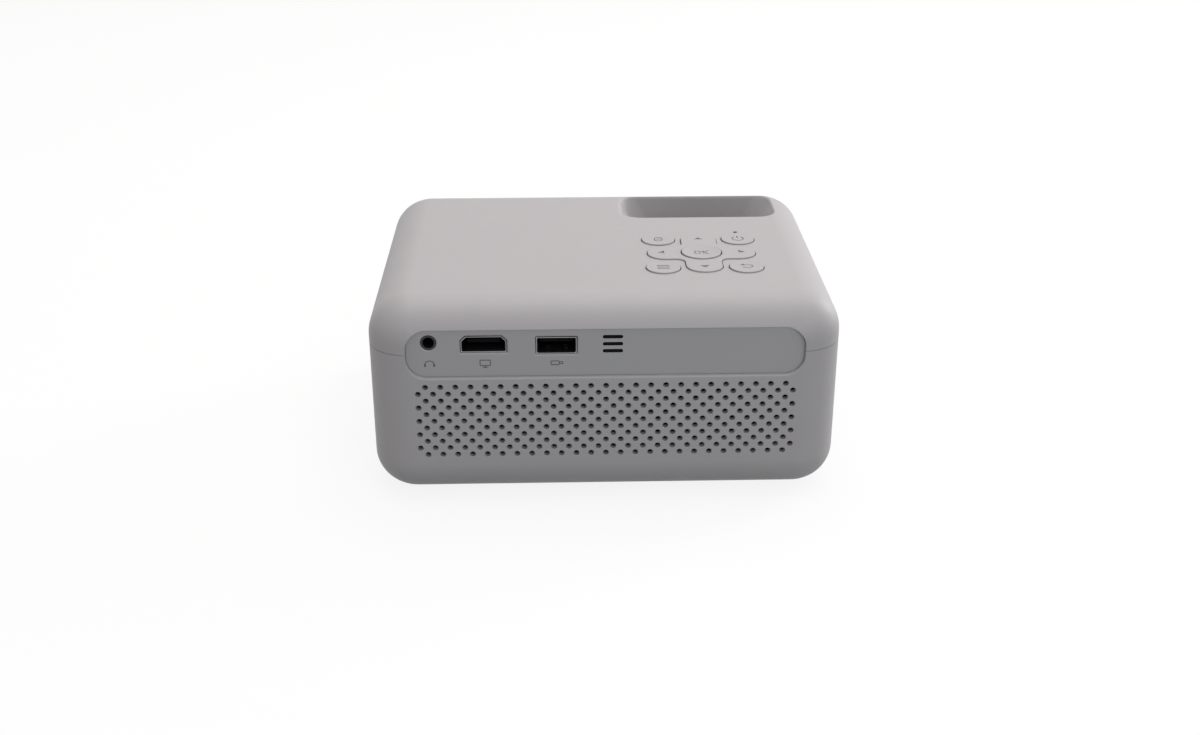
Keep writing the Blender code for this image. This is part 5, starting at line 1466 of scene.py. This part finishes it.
@dataclass
class Keypad:
    """The keys on the top face, with their engraved signs."""

    body: BodySizes
    keys: KeySizes
    lip: float = 0.7 * MM
    lip_thick: float = 1 * MM
    middle_gap: float = 0.38 * MM
    middle_lip_drop: float = 3.1 * MM
    arm_reach: float = 13 * MM
    arrow_tip: float = 15.5 * MM
    arrow_length: float = 2.3 * MM
    arrow_half: float = 1.75 * MM
    stem: float = 1.8 * MM
    stem_bottom: float = 64.65 * MM
    edge: float = 0.2 * MM
    dish: float = 0.14 * MM
    middle_dish: float = 0.55 * MM
    engraved: float = 0.36 * MM
    line: float = 0.5 * MM

    def build(self) -> list[bpy.types.Object]:
        """Builds the keys.

        Returns:
            The pieces.
        """
        made = [self.middle_key(), self.rocker()]
        signs = {
            "source": ((-1, 1), self.source_sign),
            "power": ((1, 1), self.power_sign),
            "menu": ((-1, -1), self.menu_sign),
            "back": ((1, -1), self.back_sign),
        }
        for name, (corner, sign) in signs.items():
            place = self.keys.place(*corner)
            made.append(self.round_key(name, place, sign(place)))
        return made

    def round_key(self, name: str, place: Point, sign: list[Outline]) -> bpy.types.Object:
        """Builds a round key, slightly dished, with its sign cut into the top.

        Args:
            name: What the key is for.
            place: Its middle.
            sign: Outlines of its sign.

        Returns:
            The key.
        """
        radius, top = self.keys.radius, self.body.top + self.keys.proud
        lip_top = self.body.top - self.body.wall - 0.3 * MM
        dished = [(radius * s, top - self.dish * (1 - s**2)) for s in (0, 0.25, 0.5, 0.75, 0.88)]
        key = turned(self.cap(dished, (radius, top), lip_top), place, Axis.Z, 72)
        key = cut(key, *self.engraving(sign, top - self.dish))
        piece = Piece(f"{name}_key_cap", SHELL_ABS, f"{name}_key", (f"{name}_button",))
        return piece.settle(key)

    def cap(self, dished: Outline, rim: Point, lip_top: float) -> Outline:
        """Returns a key's profile: its dished top, soft rim, lip and stem.

        Args:
            dished: (radius, level) pairs of the top, from the middle outwards.
            rim: Radius and level of the rim.
            lip_top: Level of the lip's upper face.

        Returns:
            The profile.
        """
        radius, lip_bottom = rim[0], lip_top - self.lip_thick
        return [
            *dished,
            *soft_corner(dished[-1], rim, (radius, lip_top), self.edge, 6),
            (radius, lip_top),
            (radius + self.lip, lip_top),
            (radius + self.lip, lip_bottom),
            (self.stem, lip_bottom),
            (self.stem, self.stem_bottom),
            (0, self.stem_bottom),
        ]

    def engraving(self, sign: list[Outline], surface: float) -> list[bpy.types.Object]:
        """Returns the cutters of a sign, one for each outline."""
        low, high = surface - self.engraved, surface + OVERRUN
        return [prism(outline, low, high) for outline in sign]

    def sunk(self, outline: Outline, surface: float) -> bpy.types.Object:
        """Returns a cutter whose floor falls from the outline's near edge to its far one."""
        near, far = min(v for _, v in outline), max(v for _, v in outline)
        slope = 1.6 / (far - near)
        floor = [
            Vector((u, v, surface - self.engraved * (0.1 + slope * (v - near)))) for u, v in outline
        ]
        return loft([floor, lay(outline, surface + OVERRUN, Axis.Z)])

    def middle_key(self) -> bpy.types.Object:
        """Builds the dished middle key, with two engraved letters."""
        radius, top = self.keys.middle_radius, self.body.top + self.keys.middle_proud
        lip_top = self.body.top - self.middle_lip_drop
        shares = (0, 0.2, 0.4, 0.6, 0.75, 0.87)
        dished = [(radius * s, top - self.middle_dish * (1 - s**2.4)) for s in shares]
        key = turned(self.cap(dished, (radius, top), lip_top), self.keys.pad, Axis.Z, 96)
        key = cut(key, *self.engraving(self.letters(), top - self.middle_dish))
        return Piece("ok_key_cap", SHELL_ABS, "ok_key", ("ok_button",)).settle(key)

    def rocker(self) -> bpy.types.Object:
        """Builds the four-way rocker, with an arrow head on each arm."""
        keys, middle = self.keys, self.keys.pad
        bottom, top = self.body.top - 4.8 * MM, self.body.top + keys.proud
        rings = [
            (self.lip, bottom),
            (self.lip, bottom + 1.2 * MM),
            (0.0, bottom + 1.2 * MM),
            (0.0, top - self.edge),
        ]
        for k in range(1, 7):
            angle = QUARTER * k / 6
            grow = -self.edge * (1 - math.cos(angle))
            rings.append((grow, top - self.edge * (1 - math.sin(angle))))
        cross = loft([lay(keys.cross(grow), z, Axis.Z) for grow, z in rings])
        hole = keys.middle_radius + self.middle_gap
        step = hole + self.lip + 0.2 * MM
        cutters = [
            soft_opening(
                lambda grow: circle(middle, hole + grow, 96), top, top - bottom + OVERRUN, 0.3 * MM, Axis.Z, 1
            ),
            prism(circle(middle, step, 72), bottom - OVERRUN, bottom + 2.2 * MM),
        ]
        stems = []
        for u, v in ((1, 0), (0, 1), (-1, 0), (0, -1)):
            tip = (middle[0] + u * self.arrow_tip, middle[1] + v * self.arrow_tip)
            arrow = triangle(tip, math.atan2(v, u), self.arrow_length, self.arrow_half)
            cutters.append(self.sunk(arrow, top))
            foot = circle((middle[0] + u * self.arm_reach, middle[1] + v * self.arm_reach), self.stem, 24)
            stems.append(prism(foot, self.stem_bottom, bottom + 0.3 * MM))
        cut(cross, *cutters)
        join(cross, gather(stems))
        return Piece("rocker_cap", SHELL_ABS, "rocker", ("dpad_rocker",)).settle(cross)

    def letters(self) -> list[Outline]:
        """Returns the strokes of the two letters on the middle key."""
        x, y = self.keys.pad
        line, half = self.line, 1.7 * MM
        left, wide = x - 1.4 * MM, 1.2 * MM
        oval = rounded_rectangle((left, y), wide, half, wide * 0.98, 6)
        hole = rounded_rectangle((left, y), wide - line, half - line, (wide - line) * 0.98, 6)
        upper = oval[: len(oval) // 2 + 1] + hole[: len(hole) // 2 + 1][::-1]
        lower = oval[len(oval) // 2 :] + [oval[0], hole[0]] + hole[len(hole) // 2 :][::-1]
        stem = x + 0.6 * MM
        return [
            upper,
            lower,
            bar((stem, y - half), (stem, y + half), line),
            bar((stem + line / 2, y), (stem + 1.9 * MM, y + half), line),
            bar((stem + line / 2, y), (stem + 1.9 * MM, y - half), line),
        ]

    def power_sign(self, place: Point) -> list[Outline]:
        """Returns an open ring with an upright bar."""
        start = QUARTER + math.radians(38)
        ring = band(place, 2.05 * MM, self.line, start, start + math.radians(284))
        return [ring, bar((place[0], place[1] + 0.6 * MM), (place[0], place[1] + 2.6 * MM), self.line)]

    def menu_sign(self, place: Point) -> list[Outline]:
        """Returns three level bars."""
        x, y = place
        return [
            bar((x - 2.1 * MM, y + k * 1.45 * MM), (x + 2.1 * MM, y + k * 1.45 * MM), self.line * 1.3)
            for k in (-1, 0, 1)
        ]

    def back_sign(self, place: Point) -> list[Outline]:
        """Returns an arrow that turns back."""
        x, y = place
        radius = 1.25 * MM
        turn = band((x + 0.8 * MM, y), radius, self.line, -QUARTER, QUARTER)
        top = y + radius
        return [
            turn,
            bar((x + 0.8 * MM, top), (x - 0.9 * MM, top), self.line),
            bar((x + 0.8 * MM, y - radius), (x - 1.6 * MM, y - radius), self.line),
            triangle((x - 2.3 * MM, top), math.pi, 1.5 * MM, 1.05 * MM),
        ]

    def source_sign(self, place: Point) -> list[Outline]:
        """Returns two hooks that chase each other round a short bar."""
        x, y = place
        return [
            band((x, y + 0.45 * MM), 1.35 * MM, self.line, math.radians(-15), math.radians(185)),
            band((x, y - 0.45 * MM), 1.35 * MM, self.line, math.radians(165), math.radians(365)),
            bar((x - 0.75 * MM, y), (x + 0.75 * MM, y), self.line),
        ]


@dataclass
class FocusGroup:
    """The focus ring in its pocket, the barrel that it drives and the bezel round the lens."""

    body: BodySizes
    lens: LensSizes
    ridges: int = 72
    ridge: float = 0.55 * MM
    ring_edge: float = 0.8 * MM
    bezel_thick: float = 1.4 * MM
    lens_edge: float = 1.5 * MM
    bulge: float = 1.6 * MM

    def build(self) -> list[bpy.types.Object]:
        """Builds the ring, barrel, lenses and bezel.

        Returns:
            The pieces.
        """
        return [self.ring(), self.barrel(), self.bezel(), *self.glasses()]

    def knurl(self, radius: float, depth: float) -> Outline:
        """Returns the ring's outline, with round ridges."""
        count = self.ridges * 8
        points: Outline = []
        for k in range(count):
            angle = 2 * math.pi * k / count
            wave = abs(math.sin(self.ridges * angle / 2)) ** 1.4
            r = radius - depth * (1 - wave)
            points.append((self.lens.axis[0] + r * math.cos(angle), self.lens.axis[1] + r * math.sin(angle)))
        return points

    def ring(self) -> bpy.types.Object:
        """Builds the knurled focus ring with soft edges."""
        lens, edge = self.lens, self.ring_edge
        stations = [
            (lens.ring_rear, edge, 0.25),
            (lens.ring_rear + edge * 0.3, edge * 0.3, 0.6),
            (lens.ring_rear + edge, 0, 1),
            (lens.ring_front - edge, 0, 1),
            (lens.ring_front - edge * 0.3, edge * 0.3, 0.6),
            (lens.ring_front, edge, 0.25),
        ]
        rings = [
            lay(self.knurl(lens.ring_outer - inset, self.ridge * share), level, Axis.Y)
            for level, inset, share in stations
        ]
        bore = prism(
            circle(lens.axis, lens.ring_inner, 96),
            lens.ring_rear - OVERRUN,
            lens.ring_front + OVERRUN,
            Axis.Y,
        )
        made = cut(loft(rings), bore)
        return Piece("knurled_ring", BLACK_NYLON, "focus_wheel", ("focus_ring",), 50).settle(made)

    def barrel(self) -> bpy.types.Object:
        """Builds the barrel, with stepped light baffles in front of the lens."""
        lens = self.lens
        seat = lens.barrel_front - 3.4 * MM - 2.1 * MM
        lip = lens.barrel_inner - 1.2 * MM
        rear_seat = lens.barrel_rear + 1.2 * MM
        profile = [
            (lens.barrel_outer, lens.barrel_rear),
            *soft_corner(
                (lens.barrel_outer, lens.barrel_rear),
                (lens.barrel_outer, lens.barrel_front),
                (lens.barrel_inner, lens.barrel_front),
                0.5 * MM,
            ),
            (lens.barrel_inner + 0.9 * MM, lens.barrel_front),
            (lens.barrel_inner + 0.6 * MM, lens.barrel_front - 0.8 * MM),
            (lens.barrel_inner + 0.3 * MM, lens.barrel_front - 0.8 * MM),
            (lens.barrel_inner, lens.barrel_front - 1.6 * MM),
            (lens.barrel_inner, seat),
            (lip, seat),
            (lip, rear_seat + 2.1 * MM),
            (lens.barrel_inner, rear_seat + 2.1 * MM),
            (lens.barrel_inner, rear_seat),
            (lip, rear_seat),
            (lip, lens.barrel_rear),
        ]
        made = turned(profile, lens.axis, Axis.Y, 96)
        return Piece("baffled_barrel", BLACK_NYLON, "lens_carriage", ("lens_barrel",)).settle(made)

    def bezel(self) -> bpy.types.Object:
        """Builds the bezel with a dished lip round the lens opening."""
        lens, wall = self.lens, self.body.front - self.body.wall
        inner_face = wall - self.body.gap - self.bezel_thick
        profile = [
            (lens.bezel_inner, inner_face),
            (lens.bezel_flange, inner_face),
            (lens.bezel_flange, wall - self.body.gap),
            (lens.bezel_outer, wall - self.body.gap),
            *soft_corner(
                (lens.bezel_outer, wall), (lens.bezel_outer, self.body.front), (0, self.body.front), 0.35 * MM
            ),
            (lens.bezel_outer - 0.7 * MM, self.body.front),
            (lens.bezel_outer - 1.0 * MM, self.body.front - 0.5 * MM),
            (lens.bezel_inner + 0.35 * MM, self.body.front - 2.6 * MM),
            (lens.bezel_inner, self.body.front - 3.0 * MM),
        ]
        made = turned(profile, lens.axis, Axis.Y, 120)
        return Piece("bezel_ring", BLACK_NYLON, replaces=("lens_bezel",)).settle(made)

    def glasses(self) -> list[bpy.types.Object]:
        """Builds both lenses with smooth curved faces."""
        lens = self.lens
        radius = lens.barrel_inner - 0.3 * MM
        flat = radius - 1.5 * MM
        seats = {"front": lens.barrel_front - 3.4 * MM - 2.1 * MM, "rear": lens.barrel_rear + 1.2 * MM}
        made = []
        for name, seat in seats.items():
            rear = seat + self.body.gap
            front = rear + self.lens_edge
            shares = [k / 14 for k in range(14)]
            back_curve = [(flat * s, rear - self.bulge * (1 - s**2)) for s in shares]
            front_curve = [(flat * s, front + self.bulge * (1 - s**2)) for s in reversed(shares)]
            rim = ((flat, rear), (radius, rear), (radius, front), (flat, front))
            profile = [*back_curve, *rim, *front_curve]
            glass = turned(profile, lens.axis, Axis.Y, 96)
            piece = Piece(f"{name}_glass", LENS_GLASS, "lens_carriage", (f"{name}_lens",))
            made.append(piece.settle(glass))
        return made


@dataclass
class Underside:
    """The feet, the case screws in their wells and the threaded insert."""

    body: BodySizes
    foot_x: float = 55.25 * MM
    foot_y: float = 40 * MM
    foot_radius: float = 6 * MM
    foot_well: float = 0.8 * MM
    screw_x: float = 70.25 * MM
    screw_y: float = 50 * MM
    screw_seat: float = 50.2 * MM
    head_radius: float = 2.7 * MM
    head_height: float = 2 * MM
    shank_radius: float = 1.25 * MM
    screw_length: float = 10 * MM
    insert_radius: float = 5 * MM
    insert_bore: float = 3.1 * MM
    insert_top: float = 10.5 * MM

    def build(self) -> list[bpy.types.Object]:
        """Builds the pieces of the underside.

        Returns:
            The pieces.
        """
        made = [self.insert()]
        for row, along in (("rear", -1), ("front", 1)):
            for column, across in (("left", -1), ("right", 1)):
                corner = f"{row}_{column}"
                made.append(self.foot(corner, (across * self.foot_x, along * self.foot_y)))
                made.append(self.screw(corner, (across * self.screw_x, along * self.screw_y)))
        return made

    def foot(self, corner: str, place: Point) -> bpy.types.Object:
        """Builds a foot with a soft edge and a shallow dish that grips the table."""
        radius, top = self.foot_radius, self.body.bottom + self.foot_well - 0.3 * MM
        profile = [
            (0, 0.35 * MM),
            (radius * 0.55, 0.3 * MM),
            (radius * 0.68, 0.0),
            *soft_corner((radius * 0.7, 0), (radius, 0), (radius, top), 0.7 * MM),
            (radius, top),
            (0, top),
        ]
        piece = Piece(f"foot_pad_{corner}", FOOT_RUBBER, replaces=(f"foot_{corner}",))
        return piece.settle(turned(profile, place, Axis.Z, 64))

    def screw(self, corner: str, place: Point) -> bpy.types.Object:
        """Builds a pan-head screw with a cross recess, seen head on from below."""
        seat, head = self.screw_seat, self.screw_seat - self.head_height
        profile = [
            (0, head),
            (self.head_radius * 0.55, head + 0.04 * MM),
            *soft_corner(
                (self.head_radius * 0.6, head + 0.05 * MM),
                (self.head_radius, head + 0.15 * MM),
                (self.head_radius, seat),
                0.9 * MM,
            ),
            (self.head_radius, seat),
            (self.shank_radius, seat),
            (self.shank_radius, seat + self.screw_length - self.shank_radius),
            (0, seat + self.screw_length),
        ]
        made = turned(profile, place, Axis.Z, 40)
        half, reach = 0.3 * MM, 1.45 * MM
        for u, v in ((half, reach), (reach, half)):
            low = (place[0] - u, place[1] - v, head - OVERRUN)
            made = cut(made, block(low, (place[0] + u, place[1] + v, head + 1.1 * MM)))
        piece = Piece(f"cross_screw_{corner}", NICKEL_STEEL, replaces=(f"case_screw_{corner}",))
        return piece.settle(made)

    def insert(self) -> bpy.types.Object:
        """Builds the brass insert, with the turns of its thread inside."""
        bottom = self.body.bottom + 0.3 * MM
        pitch = 1.27 * MM
        profile = [
            (self.insert_bore + 0.3 * MM, bottom),
            (self.insert_radius, bottom),
            (self.insert_radius, self.insert_top),
            (self.insert_bore, self.insert_top),
        ]
        level = self.insert_top - pitch / 4
        while level - pitch > bottom + 0.3 * MM:
            profile.append((self.insert_bore, level - pitch * 0.1))
            profile.append((self.insert_bore + 0.55 * MM, level - pitch * 0.5))
            profile.append((self.insert_bore, level - pitch * 0.9))
            level -= pitch
        made = turned(profile, (0, 0), Axis.Z, 64)
        return Piece("threaded_insert", TURNED_BRASS, replaces=("tripod_insert",)).settle(made)


@dataclass
class Internals:
    """What shows through the grille, the vents and the openings."""

    speaker: Point = (38.7 * MM, 29.4 * MM)
    speaker_front: float = -60.2 * MM
    speaker_radius: float = 14.6 * MM

    def build(self) -> list[bpy.types.Object]:
        """Dresses the inner pieces and builds the speaker's cone.

        Returns:
            The new pieces.
        """
        dress(BLACK_NYLON, "ir_receiver", "dc_inlet", "fan_frame", "fan_rotor", "speaker_basket")
        dress(BAFFLE_BLACK, "lens_mount", "lens_retainer", "optical_housing")
        dress(GREEN_MASK, "main_board", "keypad_board")
        dress(NICKEL_STEEL, "focus_ring_clip", "cam_pin", "speaker_magnet", "dc_inlet_pin")
        dress(NICKEL_STEEL, "board_screw_rear", "board_screw_left", "board_screw_right")
        dress(SILICONE, "dpad_collar")
        dress(LIGHT_PIPE, "status_light")
        dress(ANODISED_ALUMINIUM, "heat_sink")
        dress(SILVERED, "mirror", "reflector")
        dress(CELL_GLASS, "lcd_cell")
        dress(LENS_GLASS, "condenser_lens", "field_lens")
        dress(PHOSPHOR, "led_chip")
        dress(WHITE_MASK, "led_board")
        dress(DUST_MESH, "dust_screen")
        return [self.cone()]

    def cone(self) -> bpy.types.Object:
        """Builds the speaker's cone with a rolled edge and a round dust cap."""
        rim = self.speaker_front + 1.5 * MM
        skin = 0.5 * MM
        outer = self.speaker_radius - 1.8 * MM
        face: Outline = [(0, rim + 2.0 * MM)]
        face += [(4 * MM * s, rim + (2.0 + 1.6 * s**2) * MM) for s in (0.3, 0.6, 0.85, 1.0)]
        face += [(4.4 * MM, rim + 4.3 * MM), (9.9 * MM, rim + 0.9 * MM)]
        face += [
            (outer - (1.25 + 1.1 * math.cos(a)) * MM, rim + 0.75 * MM - 0.75 * MM * math.sin(a))
            for a in (0.0, 0.5, 1.05, 1.57, 2.1, 2.64, 3.14)
        ]
        back = [(r, y + skin) for r, y in face[1:]][::-1]
        edge = rim + 0.75 * MM
        profile = [*face, (outer, edge), (outer, edge + skin), *back, (0, rim + 2.0 * MM + skin)]
        made = turned(profile, self.speaker, Axis.Y, 72)
        return Piece("pulp_cone", PULP_CONE, "speaker_diaphragm", ("speaker_cone",), 60).settle(made)


@dataclass(frozen=True)
class Lamp:
    """A soft rectangular studio lamp.

    Attributes:
        name: Its name.
        place: Where it stands.
        target: What it points at.
        width: Its width.
        height: Its height.
        power: Its power in watts.
        colour: Its colour in sRGB.
    """

    name: str
    place: tuple[float, float, float]
    target: tuple[float, float, float]
    width: float
    height: float
    power: float
    colour: str = "#ffffff"

    def hang(self) -> bpy.types.Object:
        """Adds the lamp to the scene."""
        data = bpy.data.lights.new(self.name, "AREA")
        data.shape = "RECTANGLE"
        data.size, data.size_y = self.width, self.height
        data.energy = self.power
        data.color = linear(self.colour)[:3]
        lamp = bpy.data.objects.new(self.name, data)
        bpy.context.scene.collection.objects.link(lamp)
        aim = Vector(self.target) - Vector(self.place)
        lamp.matrix_world = Matrix.Translation(self.place) @ aim.to_track_quat("-Z", "Y").to_matrix().to_4x4()
        return lamp


@dataclass
class Studio:
    """A pale floor, soft lamps and an even sky.

    Attributes:
        sky: Strength of the even light from all round.
        bounce: Colour of the floor for the light that it throws back.
        glow: Share of the floor's white that needs no lamp.
    """

    sky: float = 0.45
    bounce: str = "#868789"
    glow: float = 0.86
    floor_half: float = 3.0

    def build(self) -> None:
        """Sets up the floor, world and lamps."""
        self.floor()
        self.world()
        for lamp in (
            Lamp("top_softbox", (0.12, 0.26, 1.1), (0, 0, 0.03), 1.0, 1.2, 7.4, "#fff9f8"),
            Lamp("right_edge_light", (0.95, 0.55, 0.35), (0.05, 0, 0.05), 0.35, 0.6, 5.0),
            Lamp("rear_fill", (0.4, -1.0, 0.66), (0, 0, 0.04), 0.9, 0.7, 3.0, "#f3faff"),
        ):
            lamp.hang()
            LOG.info("%s is lit", lamp.name)

    def seen(self, tree: Tree) -> Socket:
        """Returns 1 for a ray of the camera, a reflection or a refraction, and 0 for other light."""
        path = add_node(tree, "ShaderNodeLightPath", {}, {}).outputs
        pair = add_node(
            tree,
            "ShaderNodeMath",
            {"operation": "MAXIMUM"},
            {0: path["Is Camera Ray"], 1: path["Is Glossy Ray"]},
        )
        both = add_node(
            tree,
            "ShaderNodeMath",
            {"operation": "MAXIMUM"},
            {0: pair.outputs[0], 1: path["Is Transmission Ray"]},
        )
        return both.outputs[0]

    def floor(self) -> None:
        """Lays the floor, which looks white and keeps the object's shadow."""
        half = self.floor_half
        mesh = bpy.data.meshes.new("studio_floor")
        corners = [(-half, -half, 0), (half, -half, 0), (half, half, 0), (-half, half, 0)]
        mesh.from_pydata(corners, [], [(0, 1, 2, 3)])
        floor = bpy.data.objects.new("studio_floor", mesh)
        bpy.context.scene.collection.objects.link(floor)
        # Painted board, matte white: it keeps a faint soft shadow under the object.
        paint = bpy.data.materials.new("white_board_paint")
        paint.use_nodes = True
        tree = paint.node_tree
        tree.nodes.remove(tree.nodes["Principled BSDF"])
        dim = add_node(tree, "ShaderNodeBsdfDiffuse", {"Color": linear(self.bounce)}, {})
        white = add_node(tree, "ShaderNodeBsdfDiffuse", {"Color": linear("#ffffff")}, {})
        light = add_node(tree, "ShaderNodeEmission", {"Color": linear("#ffffff"), "Strength": 1.0}, {})
        shown = add_node(
            tree, "ShaderNodeMixShader", {0: self.glow}, {1: white.outputs[0], 2: light.outputs[0]}
        )
        mixed = add_node(
            tree,
            "ShaderNodeMixShader",
            {},
            {0: self.seen(tree), 1: dim.outputs[0], 2: shown.outputs[0]},
        )
        tree.links.new(mixed.outputs[0], tree.nodes["Material Output"].inputs["Surface"])
        mesh.materials.append(paint)

    def world(self) -> None:
        """Sets an even sky that looks white."""
        world = bpy.data.worlds.new("even_sky")
        world.use_nodes = True
        tree = world.node_tree
        ground = tree.nodes["Background"]
        ground.inputs["Color"].default_value = linear("#ffffff")
        ground.inputs["Strength"].default_value = self.sky
        white = add_node(tree, "ShaderNodeBackground", {"Color": linear("#ffffff"), "Strength": 1.0}, {})
        mixed = add_node(
            tree,
            "ShaderNodeMixShader",
            {},
            {0: self.seen(tree), 1: ground.outputs[0], 2: white.outputs[0]},
        )
        tree.links.new(mixed.outputs[0], tree.nodes["World Output"].inputs["Surface"])
        bpy.context.scene.world = world


@dataclass
class Viewpoint:
    """The camera, at the photograph's height and angle."""

    place: tuple[float, float, float] = (-15.387 * MM, -515.291 * MM, 256.406 * MM)
    pitch: float = math.radians(24.53)
    yaw: float = math.radians(1.694)
    roll: float = math.radians(0.04)
    focal_mm: float = 45.163
    sensor_mm: float = 36.0

    def set_up(self) -> bpy.types.Object:
        """Adds the camera and makes it the scene's own."""
        data = bpy.data.cameras.new("viewpoint")
        data.lens, data.sensor_width = self.focal_mm, self.sensor_mm
        data.clip_start, data.clip_end = 0.01, 20.0
        camera = bpy.data.objects.new("viewpoint", data)
        bpy.context.scene.collection.objects.link(camera)
        ahead = Vector(
            (
                math.sin(self.yaw) * math.cos(self.pitch),
                math.cos(self.yaw) * math.cos(self.pitch),
                -math.sin(self.pitch),
            )
        )
        right = ahead.cross(Vector((0, 0, 1))).normalized()
        up = right.cross(ahead)
        turned_right = right * math.cos(self.roll) + up * math.sin(self.roll)
        turned_up = up * math.cos(self.roll) - right * math.sin(self.roll)
        basis = Matrix((turned_right, turned_up, -ahead)).transposed()
        camera.matrix_world = Matrix.Translation(self.place) @ basis.to_4x4()
        bpy.context.scene.camera = camera
        return camera


def main() -> None:
    """Builds the projector's looks, the studio and the camera."""
    logging.basicConfig(level=logging.INFO, format="%(name)s: %(message)s")
    scene = bpy.context.scene
    scene.view_settings.view_transform = "Standard"
    Viewpoint().set_up()
    body, keys, ports, lens = BodySizes(), KeySizes(), PortSizes(), LensSizes()
    for assembly in (
        Shells(body, keys, ports, lens),
        PortPanel(body, ports),
        Sockets(ports),
        Keypad(body, keys),
        FocusGroup(body, lens),
        Underside(body),
        Internals(),
    ):
        made = assembly.build()
        LOG.info("%s: %d pieces", type(assembly).__name__, len(made))
    Studio().build()


if __name__ == "__main__":
    main()
